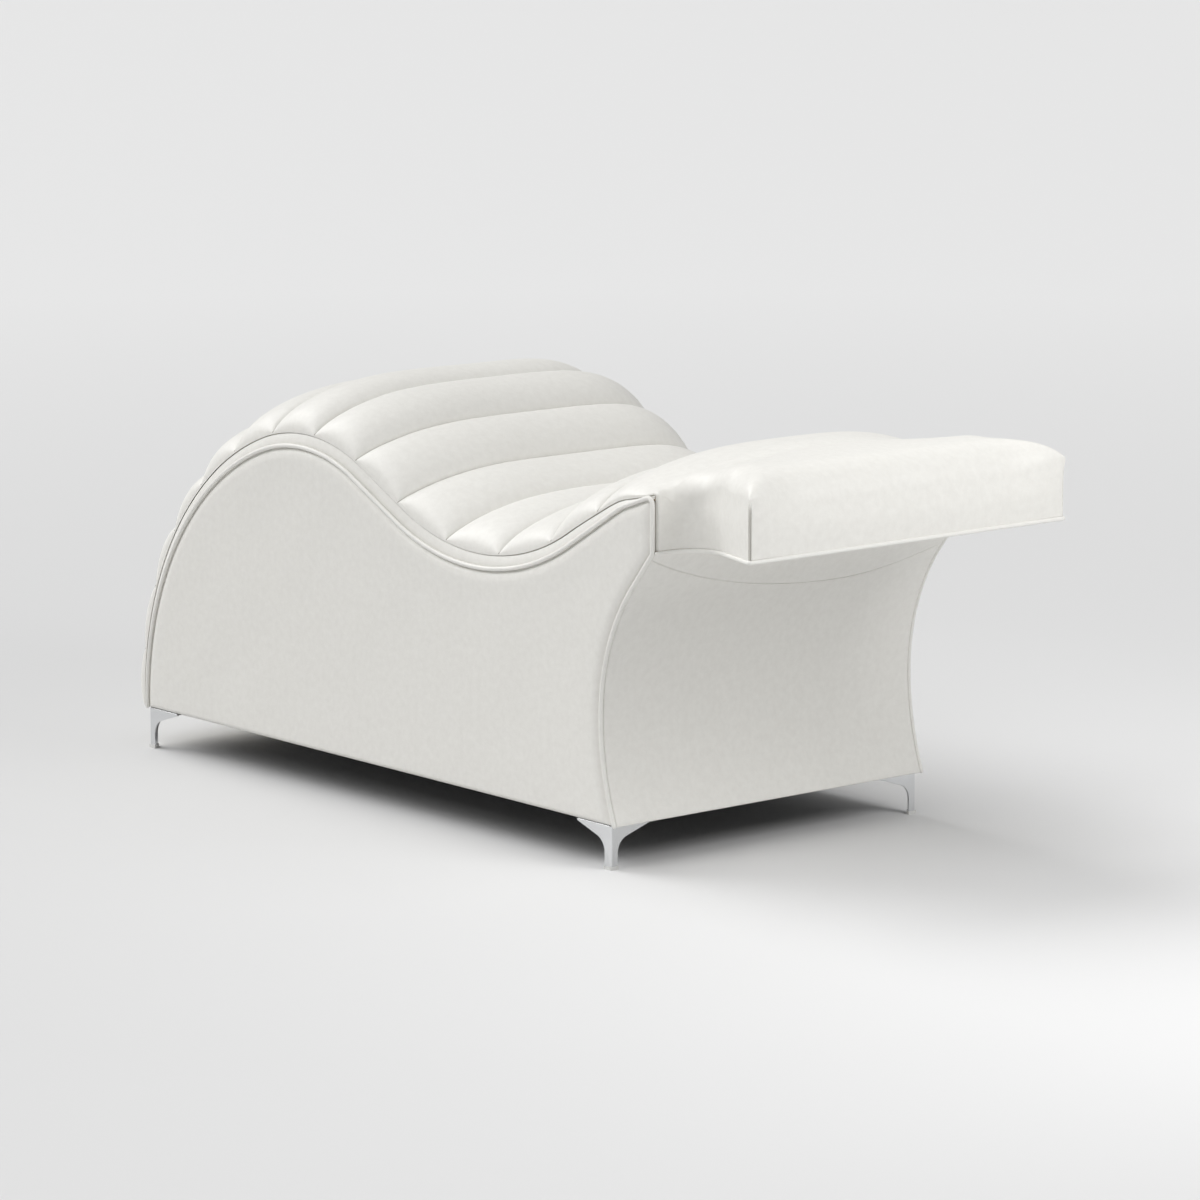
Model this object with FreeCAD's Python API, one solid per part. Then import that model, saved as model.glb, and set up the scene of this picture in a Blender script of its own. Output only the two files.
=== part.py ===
import FreeCAD, Part
import math
import os

# Eyelash extension bed: a plywood carcass with a wave-shaped top, padded and covered in
# leatherette, with an overhanging headrest, on four chrome corner legs.
# Lengths are millimetres and angles degrees. +X runs from the foot end to the head end,
# +Y is the client's right hand side and +Z is up.
# While the bed is drawn, x = 0 lies below the top of the hump and z = 0 is the floor. At the end
# the whole bed moves along X, so that its origin is on the floor below the middle of its box.

# Overall sizes
BODY_WIDTH = 750.0
LEG_HEIGHT = 80.0
HUMP_HEIGHT = 575.0  # top of the hump above the bottom of the body

# Wave along the top of the side panel, from the foot end to the head corner
FOOT_RADIUS = 577.0
HUMP_RADIUS = 372.0
HUMP_FOOT_ANGLE = 20.2  # slope where the foot curve becomes the hump
FLANK_ANGLE = 27.0  # slope of the straight flank from the hump down to the dip
FLANK_RUN = 136.0
DIP_RADIUS = 520.0
RISE_ANGLE = 30.6  # slope of the straight rise from the dip up to the neck
RISE_RUN = 155.0
CREST_RADIUS = 159.0
HEAD_ANGLE = 19.1
HEAD_RUN = 74.0

# Head edge and hollow front, from the head corner down to the floor line
HEAD_EDGE = 103.0
FRONT_LEAN = 38.9  # the straight run below the head edge, from the vertical
FRONT_RUN = 88.0
FRONT_UPPER_RADIUS = 381.0
FRONT_LOWER_RADIUS = 516.0

# Carcass
CLEARANCE = 0.3  # between neighbouring pieces that are not glued face to face
FRAME_THICKNESS = 18.0
SKIN_PLY = 6.0  # bent plywood of the deck and the front board
SKIN_DEPTH = 2.0  # outer face of the bent plywood, below the piping line
RAIL_WIDTH = 45.0
RAIL_DEPTH = 30.0
RAIL_PLACES = (0.1, 0.24, 0.38, 0.5, 0.62, 0.74, 0.86)  # along the wave, as shares of its length
BASE_BOARD = 12.0
DUST_COVER = 1.0
BLOCK_LENGTH = 85.0
BLOCK_WIDTH = 75.0
BLOCK_HEIGHT = 45.0

# Side upholstery
SIDE_PAD = 13.7
SIDE_BEVEL_WIDTH = 16.0
SIDE_BEVEL_DEPTH = 6.0
PIPING_RADIUS = 4.0
PIPING_CORNER = 11.0
BAND_RISE = 22.0  # border seam above the piping line
BAND_LEAN = 6.0  # border seam inside the band's lower edge
BAND_LEDGE = 16.0  # top of the band, inside the border seam
LEDGE_DROP = 3.0  # fall of that top towards the foam
BORDER_GAP = 1.5  # the band's edge below the border seam

# Crowned top and its sewn channels
CHANNEL_PITCH = 143.0
QUILT_LEVEL = 60.0  # height above the piping line at which the pitch is measured
NECK_RUN = 178.0  # smooth neck pad, from the last seam to the head end
SEAM_DEPTH = 3.0  # thickness of a channel at its seams
SEAM_GAP = 0.6
CHANNEL_BULGE = 26.0
NECK_BULGE = 8.0
END_BULGE = 2.0  # what is left of a bulge at the border seam
FOOT_CROWN = 22.0  # middle of the bed above its borders, at the foot end
HUMP_CROWN = 66.0
SEAT_CROWN = 60.0
HEAD_CROWN = 36.0
CROWN_RUN = 620.0  # length over which the crown grows from the foot end
CROWN_FALL = 200.0  # length over which it falls again, from the top of the hump to the seat
CROWN_POWER = 4.0  # the higher, the fuller the top near its borders
NECK_CROWN_POWER = 2.0
BULGE_POWER = 30.0
STATIONS = (-1.0, -0.97, -0.9, -0.76, -0.5, 0.0, 0.5, 0.76, 0.9, 0.97, 1.0)  # shares of half the width

# Headrest
HEADREST_REACH = 256.0  # front face ahead of the head corner
HEADREST_SLOPE = 0.07  # rise of the underside towards the front
HEADREST_HALF_WIDTH = 375.0
NOTCH_RADIUS = 36.0
NOTCH_INSET = 51.0  # from the body's side to the start of the notch's curve
NOTCH_SETBACK = 2.5  # end face of the body ahead of the head corner
FRONT_FACE = 112.0
FRONT_ROUND = 38.0
FACE_CROWN = 1.0  # rise of the front face's upper edge in the middle
TOP_ROUND = 34.0
SHOULDER_RISE = 133.0  # top of the cushion's sides above its underside, behind the front
CUSHION_CROWN = 14.0
LINER = 2.0
HEADREST_BOARD = 24.0
BOARD_INSET = 14.0
BOARD_INSIDE = 146.0  # how far the board reaches back into the body
HEADREST_RAIL = 38.0
STIFFENER_WIDTH = 40.0
STIFFENER_THICKNESS = 6.0
STIFFENER_SPREAD = 300.0
STIFFENER_INSIDE = 110.0
STIFFENER_REACH = 190.0

# Front upholstery
FRONT_PAD = 5.0
FRONT_PAD_TOP = 3.5  # start of the pad below the head edge, along the front
FRONT_BOARD_TOP = 13.0
APRON_LOW_PLACE = 130.0  # lowest point of the curved seam, towards the client's right
APRON_LOW_DROP = 110.0  # that point below the head edge
APRON_LEFT_RISE = 100.0  # from there up to the seam's ends
APRON_RIGHT_RISE = 50.0
APRON_GAP = 0.5

# Legs
LEG_SETBACK = 14.0  # outer face of a head-end leg behind the bottom corner of the front
FOOT_LEG_SETBACK = 4.5
LEG_SIDE_SETBACK = 6.0
LEG_WALL = 4.0
LEG_WING = 93.0
LEG_WING_TIP = 4.0
LEG_WING_ROOT = 29.0  # depth of the wing where its lower edge would meet the post
LEG_POST = 17.0
LEG_FILLET = 30.0
LEG_CHAMFER = 3.0
LEG_PLATE = 3.0
LEG_PLATE_CORNER = 42.0
SCREW_PLACES = ((46.0, 46.0), (80.0, 38.0), (38.0, 80.0))  # from the leg's outer corner
SCREW_RADIUS = 2.25
SCREW_LENGTH = 34.0
SCREW_HEAD_RADIUS = 4.6
SCREW_HEAD = 2.6
SCREW_ROOM = 0.15
GLIDE_HEIGHT = 6.0
GLIDE_FLOOR = 3.0
GLIDE_WALL = 1.0
GLIDE_ROOM = 0.12

HALF_WIDTH = BODY_WIDTH / 2
BODY_BOTTOM = LEG_HEIGHT
FRAME_OUTSIDE = HALF_WIDTH - SIDE_PAD - CLEARANCE
FRAME_INSIDE = FRAME_OUTSIDE - FRAME_THICKNESS
INNER_WIDTH = FRAME_INSIDE - CLEARANCE
SKIN_BACK = SKIN_DEPTH + SKIN_PLY
INNER_LEVEL = -SKIN_BACK - CLEARANCE
PAD_LEVEL = CLEARANCE - SKIN_DEPTH
PIPING_LEVEL = -1.0
PANEL_CORNER = PIPING_CORNER - PIPING_RADIUS
PIPING_Y = HALF_WIDTH - PIPING_RADIUS
PAD_EDGE_LEVEL = PIPING_LEVEL - PIPING_RADIUS - CLEARANCE
BAND_OUTSIDE = HALF_WIDTH - 2 * PIPING_RADIUS - CLEARANCE
CHANNEL_HALF = BAND_OUTSIDE - BAND_LEAN
BAND_INSIDE = CHANNEL_HALF - BAND_LEDGE
FOAM_HALF = BAND_INSIDE - CLEARANCE


class Span:
    """A straight run or an arc of the side outline. The outside lies to the left of its heading."""

    def __init__(self, start, heading, length, turn=0.0):
        self.start = start
        self.heading = heading
        self.length = length
        self.turn = turn

    def at(self, share, level=0.0):
        """Point at a share of the length, moved outwards by level."""
        angle = self.heading + share * self.turn
        x, z = self.start
        if self.turn:
            radius = self.length / self.turn
            x += radius * (math.sin(angle) - math.sin(self.heading))
            z -= radius * (math.cos(angle) - math.cos(self.heading))
        else:
            x += share * self.length * math.cos(angle)
            z += share * self.length * math.sin(angle)
        return x - level * math.sin(angle), z + level * math.cos(angle)

    def normal(self, share=0.0):
        angle = self.heading + share * self.turn
        return -math.sin(angle), math.cos(angle)

    def length_at(self, level):
        return self.length - level * self.turn

    def edge(self, level, y, first=0.0, last=1.0):
        start = point(self.at(first, level), y)
        end = point(self.at(last, level), y)
        if not self.turn:
            return Part.LineSegment(start, end).toShape()
        return Part.Arc(start, point(self.at((first + last) / 2, level), y), end).toShape()


def point(xz, y):
    return FreeCAD.Vector(xz[0], y, xz[1])


def line(start, end):
    return Part.LineSegment(start, end).toShape()


def walk(start, heading, steps):
    """Spans joined end to end. Each step is a length, or an arc's radius with its turn in radians."""
    spans = []
    for step in steps:
        if isinstance(step, tuple):
            radius, turn = step
            span = Span(start, heading, radius * abs(turn), turn)
        else:
            span = Span(start, heading, step)
        spans.append(span)
        start = span.at(1.0)
        heading += span.turn
    return spans


def side_outline():
    """The wave from the foot end to the head corner, and the front from there down to the bottom."""
    join = math.radians(HUMP_FOOT_ANGLE)
    hump_drop = HUMP_RADIUS * (1 - math.cos(join))
    foot_heading = math.acos(math.cos(join) - (HUMP_HEIGHT - hump_drop) / FOOT_RADIUS)
    foot_x = -HUMP_RADIUS * math.sin(join) - FOOT_RADIUS * (math.sin(foot_heading) - math.sin(join))
    flank = math.radians(FLANK_ANGLE)
    rise = math.radians(RISE_ANGLE)
    head = math.radians(HEAD_ANGLE)
    wave = walk((foot_x, BODY_BOTTOM), foot_heading, (
        (FOOT_RADIUS, join - foot_heading),
        (HUMP_RADIUS, -join - flank),
        FLANK_RUN,
        (DIP_RADIUS, flank + rise),
        RISE_RUN,
        (CREST_RADIUS, head - rise),
        HEAD_RUN,
    ))
    corner = wave[-1].at(1.0)
    lean = math.radians(FRONT_LEAN)
    edge = walk(corner, -math.pi / 2, (HEAD_EDGE,))
    front = walk(edge[-1].at(1.0), -math.pi / 2 - lean, (FRONT_RUN, (FRONT_UPPER_RADIUS, lean)))
    throat = front[-1].at(1.0)
    kick = math.asin((throat[1] - BODY_BOTTOM) / FRONT_LOWER_RADIUS)
    front += walk(throat, -math.pi / 2, ((FRONT_LOWER_RADIUS, kick),))
    return wave, edge[0], front


WAVE, HEAD_SPAN, FRONT = side_outline()
FOOT_X = WAVE[0].at(0.0)[0]
HEAD_X, HEAD_Z = WAVE[-1].at(1.0)
EDGE_FOOT_Z = HEAD_SPAN.at(1.0)[1]
FRONT_X = FRONT[-1].at(1.0)[0]
CUSHION_BACK = HEAD_X + PAD_EDGE_LEVEL + CLEARANCE
HEAD_STOP = CUSHION_BACK - CLEARANCE
WAVE_LENGTH = sum(span.length for span in WAVE)
QUILT_LENGTH = sum(span.length_at(QUILT_LEVEL) for span in WAVE)
HUMP_SHARE = HUMP_FOOT_ANGLE / (HUMP_FOOT_ANGLE + FLANK_ANGLE)
HUMP_PLACE = WAVE[0].length_at(QUILT_LEVEL) + HUMP_SHARE * WAVE[1].length_at(QUILT_LEVEL)


def miter(before, after, level):
    """Corner between two straight spans, moved outwards by level."""
    x, z = after.at(0.0)
    ax, az = before.normal()
    bx, bz = after.normal()
    reach = level / (1 + ax * bx + az * bz)
    return x + reach * (ax + bx), z + reach * (az + bz)


def bend(start, middle, end):
    """Arc through three points, or the line between the outer ones where all three lie on it."""
    if (middle - start).getAngle(end - start) < math.radians(0.01):
        return line(start, end)
    return Part.Arc(start, middle, end).toShape()


def polyline(points):
    return [line(a, b) for a, b in zip(points, points[1:])]


def outer_edges(level, y, corner_radius):
    """The wave, the head edge with its rounded corners and the hollow front, at one level."""
    corners = [
        WAVE[-1].at(0.0, level),
        miter(WAVE[-1], HEAD_SPAN, level),
        miter(HEAD_SPAN, FRONT[0], level),
        FRONT[0].at(1.0, level),
    ]
    edges = [span.edge(level, y) for span in WAVE[:-1]]
    edges += rounded_path([point(corner, y) for corner in corners], [corner_radius, corner_radius])
    return edges + [span.edge(level, y) for span in FRONT[1:]]


def outline_wire(level, y):
    """The closed side outline at one level. It runs on below the body's bottom, to be cut there."""
    below = BODY_BOTTOM - 2 * SIDE_BEVEL_WIDTH
    foot = WAVE[0].at(0.0, level)
    toe = FRONT[-1].at(1.0, level)
    edges = outer_edges(level, y, PANEL_CORNER)
    edges += polyline([
        point(toe, y),
        point((toe[0], below), y),
        point((foot[0], below), y),
        point(foot, y),
    ])
    return Part.Wire(edges)


def box(low, high):
    size = [b - a for a, b in zip(low, high)]
    return Part.makeBox(*size, FreeCAD.Vector(*low))


def above(shape, z):
    """What is left of a shape above a height."""
    b = shape.BoundBox
    room = 1.0
    return shape.cut(box((b.XMin - room, b.YMin - room, b.ZMin - room), (b.XMax + room, b.YMax + room, z)))


def prism(level, low_y, high_y, bottom):
    """The side outline at one level, as a slab from low_y to high_y that starts at a height."""
    face = Part.Face(outline_wire(level, low_y))
    return above(face.extrude(FreeCAD.Vector(0, high_y - low_y, 0)), bottom)


def mirrored(shape):
    return shape.mirror(FreeCAD.Vector(0, 0, 0), FreeCAD.Vector(0, 1, 0))


def locate(distance, level):
    """Span and share of the wave at a distance from the foot end, measured at a level."""
    for span in WAVE:
        length = span.length_at(level)
        if distance <= length or span is WAVE[-1]:
            return span, distance / length
        distance -= length


def head_share(level):
    """Share of the last span at which the upholstery on the wave stops, in front of the headrest."""
    x = WAVE[-1].at(0.0, level)[0]
    return (HEAD_STOP - x) / (WAVE[-1].length * math.cos(WAVE[-1].heading))


def wave_edges(level, y):
    edges = [span.edge(level, y) for span in WAVE[:-1]]
    edges.append(WAVE[-1].edge(level, y, 0.0, head_share(level)))
    return edges


def strip_wire(low, high, y):
    """Closed wire round the strip between two levels of the wave."""
    share_low = head_share(low)
    share_high = head_share(high)
    edges = wave_edges(high, y)
    edges.append(line(point(WAVE[-1].at(share_high, high), y), point(WAVE[-1].at(share_low, low), y)))
    edges += reversed(wave_edges(low, y))
    edges.append(line(point(WAVE[0].at(0.0, low), y), point(WAVE[0].at(0.0, high), y)))
    return Part.Wire(Part.sortEdges(edges)[0])


def tube(edges, radius):
    """A round cord along joined edges."""
    path = Part.Wire(edges)
    start = edges[0].valueAt(edges[0].FirstParameter)
    along = edges[0].tangentAt(edges[0].FirstParameter)
    section = Part.Wire(Part.Circle(start, along, radius).toShape())
    return path.makePipeShell([section], True, False)


def rounded_path(points, radii):
    """Straight runs through points, with an arc of the given radius at each inner point."""
    edges = []
    start = points[0]
    for before, corner, after, radius in zip(points, points[1:], points[2:], radii):
        into = (corner - before).normalize()
        out = (after - corner).normalize()
        half = into.getAngle(out) / 2
        reach = radius * math.tan(half)
        first = corner - into * reach
        last = corner + out * reach
        middle = corner + (out - into).normalize() * (radius / math.cos(half) - radius)
        edges.append(line(start, first))
        edges.append(Part.Arc(first, middle, last).toShape())
        start = last
    edges.append(line(start, points[-1]))
    return edges


def carcass():
    """Plywood side frames and rib, rails, deck and front board, base board and corner blocks."""
    parts = {}
    floor = BODY_BOTTOM + DUST_COVER
    frame = prism(-SKIN_BACK, -FRAME_OUTSIDE, -FRAME_INSIDE, floor)
    parts["side_frame_left"] = frame
    parts["side_frame_right"] = mirrored(frame)

    deck = Part.Face(strip_wire(-SKIN_BACK, -SKIN_DEPTH, -FRAME_OUTSIDE))
    parts["seat_deck"] = above(deck.extrude(FreeCAD.Vector(0, 2 * FRAME_OUTSIDE, 0)), floor)

    inside = prism(INNER_LEVEL, -INNER_WIDTH, INNER_WIDTH, floor)
    board_top = floor + BASE_BOARD
    slab = box((FOOT_X, -INNER_WIDTH, floor), (FRONT_X, INNER_WIDTH, board_top))
    parts["base_board"] = inside.common(slab).cut(screw_holes())

    rails = [rail(share * WAVE_LENGTH) for share in RAIL_PLACES]
    parts["cross_rails"] = Part.makeCompound(rails)

    blocks = [corner_block(end, side).cut(screw_holes()) for end in (-1, 1) for side in (-1, 1)]
    parts["corner_blocks"] = Part.makeCompound([block.common(inside) for block in blocks])

    half_rib = FRAME_THICKNESS / 2
    rib = prism(INNER_LEVEL, -half_rib, half_rib, board_top)
    rib = rib.cut([grown(piece) for piece in rails + headrest_rails() + [headrest_board()]])
    # The scrap that is left over the headrest board isn't part of the rib.
    parts["centre_rib"] = max(rib.Solids, key=lambda solid: solid.Volume)

    board = front_strip(-SKIN_BACK, -SKIN_DEPTH, FRONT_BOARD_TOP, FRAME_OUTSIDE)
    parts["front_board"] = above(board, floor)
    cover = box((FOOT_X, -FRAME_OUTSIDE, BODY_BOTTOM), (FRONT_X, FRAME_OUTSIDE, floor))
    sheet = prism(INNER_LEVEL, -FRAME_OUTSIDE, FRAME_OUTSIDE, BODY_BOTTOM).common(cover)
    parts["dust_cover"] = sheet.cut(screw_holes())
    return parts


def grown(shape):
    """The room that a crossing timber needs in the rib."""
    b = shape.BoundBox
    low = (b.XMin - CLEARANCE, -FRAME_THICKNESS, b.ZMin - CLEARANCE)
    high = (b.XMax + CLEARANCE, FRAME_THICKNESS, b.ZMax + CLEARANCE)
    return box(low, high)


def rail(distance):
    """A timber across the bed, shaped to the underside of the deck at a distance along the wave."""
    ends = [locate(distance + shift, 0.0) for shift in (-RAIL_WIDTH / 2, 0.0, RAIL_WIDTH / 2)]
    outer = [point(span.at(share, INNER_LEVEL), -INNER_WIDTH) for span, share in ends]
    inner = [point(span.at(share, INNER_LEVEL - RAIL_DEPTH), -INNER_WIDTH) for span, share in ends]
    edges = [bend(*outer)] + polyline([outer[2], inner[2], inner[0], outer[0]])
    face = Part.Face(Part.Wire(edges))
    return face.extrude(FreeCAD.Vector(0, 2 * INNER_WIDTH, 0))


def corner_block(end, side):
    """A timber block in one bottom corner: end -1 is the foot end, side -1 the client's left."""
    x = leg_corner(end)[0]
    low_x = x - BLOCK_LENGTH if end > 0 else x
    low_y = INNER_WIDTH - BLOCK_WIDTH if side > 0 else -INNER_WIDTH
    bottom = BODY_BOTTOM + DUST_COVER + BASE_BOARD
    size = (BLOCK_LENGTH, BLOCK_WIDTH, BLOCK_HEIGHT)
    return Part.makeBox(*size, FreeCAD.Vector(low_x, low_y, bottom))


def front_strip(low, high, top, half_width):
    """A sheet over the hollow front between two levels, from a distance below the head edge."""
    share = top / FRONT[0].length
    y = -half_width
    rise = [FRONT[0].edge(level, y, share, 1.0) for level in (low, high)]
    rest = [[span.edge(level, y) for span in FRONT[1:]] for level in (low, high)]
    edges = [rise[0], *rest[0], rise[1], *rest[1]]
    for span, place in ((FRONT[0], share), (FRONT[-1], 1.0)):
        edges.append(line(point(span.at(place, low), y), point(span.at(place, high), y)))
    face = Part.Face(Part.Wire(Part.sortEdges(edges)[0]))
    return face.extrude(FreeCAD.Vector(0, 2 * half_width, 0))


def side_upholstery():
    """Padded side panels with their piping, and the boxing bands above them."""
    parts = {}
    bevel_y = -HALF_WIDTH + SIDE_BEVEL_DEPTH
    inner = PAD_EDGE_LEVEL - SIDE_BEVEL_WIDTH
    sections = [
        outline_wire(PAD_EDGE_LEVEL, -FRAME_OUTSIDE - CLEARANCE),
        outline_wire(PAD_EDGE_LEVEL, bevel_y),
        outline_wire(inner, -HALF_WIDTH),
    ]
    pad = above(Part.makeLoft(sections, True, True), BODY_BOTTOM)

    piping = tube(outer_edges(PIPING_LEVEL, -PIPING_Y, PIPING_CORNER), PIPING_RADIUS)

    sections = [
        strip_wire(PAD_LEVEL, SKIN_DEPTH, -BAND_OUTSIDE),
        strip_wire(PAD_LEVEL, BAND_RISE - BORDER_GAP, -CHANNEL_HALF),
        strip_wire(PAD_LEVEL, BAND_RISE - BORDER_GAP - LEDGE_DROP, -BAND_INSIDE),
    ]
    band = Part.makeLoft(sections, True, True)
    for name, shape in (("side_pad", pad), ("side_piping", piping), ("boxing_band", band)):
        parts[name + "_left"] = shape
        parts[name + "_right"] = mirrored(shape)
    return parts


def crown(distance, y):
    """Height of the sewn top above its border seam, at a distance along the quilt line."""
    climb = min(1.0, distance / CROWN_RUN)
    fall = min(1.0, max(0.0, distance - HUMP_PLACE) / CROWN_FALL)
    neck = max(0.0, 1 - (QUILT_LENGTH - distance) / NECK_RUN)
    height = FOOT_CROWN + (HUMP_CROWN - FOOT_CROWN) * climb
    height += (SEAT_CROWN - HUMP_CROWN) * fall + (HEAD_CROWN - SEAT_CROWN) * neck
    power = CROWN_POWER + (NECK_CROWN_POWER - CROWN_POWER) * neck
    return height * (1 - abs(y / CHANNEL_HALF) ** power)


def quilt_point(distance, y, extra=0.0):
    """Point of the sewn top, raised by extra. The head end stops at the headrest."""
    span, share = locate(distance, QUILT_LEVEL)
    level = BAND_RISE + SEAM_DEPTH + CLEARANCE + crown(distance, y) + extra
    if distance >= QUILT_LENGTH:
        share = head_share(level)
    return point(span.at(share, level), y)


def quilt_bed(start, end, y, extra):
    """Arc along the sewn top between two seams, raised by extra, on which a channel lies."""
    return bend(*[quilt_point(place, y, extra) for place in (start, (start + end) / 2, end)])


def seams():
    """Distances of the seams along the quilt line, with the foot end first and the head end last."""
    neck = QUILT_LENGTH - NECK_RUN
    count = max(1, round(neck / CHANNEL_PITCH))
    return [0.0] + [neck - CHANNEL_PITCH * i for i in reversed(range(count))] + [QUILT_LENGTH]


def pillow(start, end, bulge):
    """One sewn channel: an arched section carried across the bed, with rounded ends."""
    sections = []
    for station in STATIONS:
        y = station * CHANNEL_HALF
        fullness = math.sqrt(max(0.0, 1 - abs(station) ** BULGE_POWER))
        a = quilt_point(start, y)
        b = quilt_point(end, y)
        low_a = quilt_point(start, y, -SEAM_DEPTH)
        low_b = quilt_point(end, y, -SEAM_DEPTH)
        top = quilt_point((start + end) / 2, y, END_BULGE + (bulge - END_BULGE) * fullness)
        bottom = quilt_bed(end, start, y, -SEAM_DEPTH)
        sections.append(Part.Wire([Part.Arc(a, top, b).toShape(), line(b, low_b), bottom, line(low_a, a)]))
    return Part.makeLoft(sections, True, False)


def seat_top():
    """Foam on the deck, the sewn channels on it and the smooth neck pad."""
    places = seams()
    gap = SEAM_GAP / 2
    parts = {}
    for i, (start, end) in enumerate(zip(places[:-2], places[1:-1]), 1):
        parts["channel_pad_%02d" % i] = pillow(start + gap * (i > 1), end - gap, CHANNEL_BULGE)
    parts["neck_pad"] = pillow(places[-2] + gap, places[-1], NECK_BULGE)

    sections = []
    for station in STATIONS:
        y = station * FOAM_HALF
        back = places[::-1]
        edges = wave_edges(PAD_LEVEL, y)
        heel = point(WAVE[0].at(0.0, PAD_LEVEL), y)
        toe = point(WAVE[-1].at(head_share(PAD_LEVEL), PAD_LEVEL), y)
        edges.append(line(toe, quilt_point(back[0], y, -SEAM_DEPTH - CLEARANCE)))
        edges += [quilt_bed(a, b, y, -SEAM_DEPTH - CLEARANCE) for a, b in zip(back, back[1:])]
        edges.append(line(quilt_point(back[-1], y, -SEAM_DEPTH - CLEARANCE), heel))
        sections.append(Part.Wire(edges))
    parts["seat_foam"] = Part.makeLoft(sections, True, False)
    return parts


def underside(x):
    """Height of the headrest's underside."""
    return EDGE_FOOT_Z + HEADREST_SLOPE * (x - HEAD_X)


HEADREST_FRONT = HEAD_X + HEADREST_REACH
NOTCH_FACE = HEAD_X + NOTCH_SETBACK
NOTCH_Y = HALF_WIDTH - NOTCH_INSET


def notch_tangent():
    """Where the notch's round root meets the straight flare to the front corner."""
    centre_x = NOTCH_FACE + NOTCH_RADIUS
    dx = HEADREST_FRONT - centre_x
    dy = HEADREST_HALF_WIDTH - NOTCH_Y
    flare = math.atan2(dy, dx) + math.asin(NOTCH_RADIUS / math.hypot(dx, dy))
    return (centre_x + NOTCH_RADIUS * math.sin(flare), NOTCH_Y - NOTCH_RADIUS * math.cos(flare)), flare


def headrest_half(x):
    """Half width of the headrest at a place ahead of the body."""
    (tangent_x, tangent_y), flare = notch_tangent()
    if x >= tangent_x:
        return tangent_y + (x - tangent_x) * math.tan(flare)
    offset = x - NOTCH_FACE - NOTCH_RADIUS
    return NOTCH_Y - math.sqrt(max(0.0, NOTCH_RADIUS ** 2 - offset ** 2))


def cushion_section(x, half, top, crown_rise):
    """Section of the headrest cushion: flat below, round shoulders and a crowned top."""
    low = underside(x) + PIPING_RADIUS + CLEARANCE
    shoulder = top - TOP_ROUND
    bend = TOP_ROUND * (1 - math.sqrt(0.5))
    right = [(half, low), (half, shoulder), (half - bend, top - bend), (half - TOP_ROUND, top)]
    r = [FreeCAD.Vector(x, y, z) for y, z in right]
    l = [FreeCAD.Vector(x, -y, z) for y, z in right]
    return Part.Wire([
        line(l[0], r[0]),
        line(r[0], r[1]),
        Part.Arc(r[1], r[2], r[3]).toShape(),
        Part.Arc(r[3], FreeCAD.Vector(x, 0, top + crown_rise), l[3]).toShape(),
        Part.Arc(l[3], l[2], l[1]).toShape(),
        line(l[1], l[0]),
    ])


def headrest_cushion():
    """T-shaped slab: full width against the body, notched behind its flared front."""
    back_top = HEAD_Z + BAND_RISE
    cheek = BAND_OUTSIDE
    main_top = underside(HEADREST_FRONT) + SHOULDER_RISE
    sections = [
        cushion_section(CUSHION_BACK, cheek, back_top, HEAD_CROWN),
        cushion_section(NOTCH_FACE, cheek, back_top, HEAD_CROWN),
    ]
    tangent_x = notch_tangent()[0][0]
    root = tangent_x - NOTCH_FACE
    for share in (0.02, 0.15, 0.45, 1.0):
        blend = 0.5 * share
        top = back_top + (main_top - back_top) * blend
        rise = HEAD_CROWN + (CUSHION_CROWN - HEAD_CROWN) * blend
        x = NOTCH_FACE + root * share
        sections.append(cushion_section(x, headrest_half(x), top, rise))
    round_start = HEADREST_FRONT - FRONT_ROUND
    for share in (0.4, 0.7, 1.0):
        x = tangent_x + (round_start - tangent_x) * share
        sections.append(cushion_section(x, headrest_half(x), main_top, CUSHION_CROWN))
    face_top = underside(HEADREST_FRONT) + FRONT_FACE - FRONT_ROUND
    for angle in (30.0, 60.0, 90.0):
        turn = math.radians(angle)
        x = round_start + FRONT_ROUND * math.sin(turn)
        top = face_top + (main_top - face_top) * math.cos(turn)
        rise = FACE_CROWN + (CUSHION_CROWN - FACE_CROWN) * math.cos(turn)
        sections.append(cushion_section(x, headrest_half(x), top, rise))
    slab = Part.makeLoft(sections, True, True)
    recess = headrest_plan(BOARD_INSET - CLEARANCE, -CLEARANCE, HEADREST_BOARD + 2 * CLEARANCE, LINER)
    return slab.cut([recess] + [stiffener(side, CLEARANCE) for side in (-1, 1)])


def headrest_plan(inset, back_room, thickness, lift):
    """A board over the headrest's underside, narrow through the notch and flared to the front."""
    neck = headrest_half(NOTCH_FACE + NOTCH_RADIUS) - inset
    back = HEAD_X - BOARD_INSIDE + back_room
    front = HEADREST_FRONT - inset
    tangent_x = notch_tangent()[0][0]
    wide = headrest_half(front) - inset
    corners = [(back, neck), (tangent_x, neck), (front, wide)]
    corners += [(x, -y) for x, y in reversed(corners)]
    points = [FreeCAD.Vector(x, y, underside(x) + lift) for x, y in corners + corners[:1]]
    return Part.Face(Part.makePolygon(points)).extrude(FreeCAD.Vector(0, 0, thickness))


def headrest_board():
    return headrest_plan(BOARD_INSET, 0.0, HEADREST_BOARD, LINER + CLEARANCE)


def headrest_rails():
    """Two timbers across the body that carry the headrest board."""
    inside = prism(INNER_LEVEL, -INNER_WIDTH, INNER_WIDTH, BODY_BOTTOM)
    rails = []
    for back in (BOARD_INSIDE, BOARD_INSIDE / 2):
        low_x = HEAD_X - back
        top = underside(low_x) + LINER
        timber = box((low_x, -INNER_WIDTH, top - HEADREST_RAIL), (low_x + HEADREST_RAIL, INNER_WIDTH, top))
        rails.append(timber.common(inside))
    return rails


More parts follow.
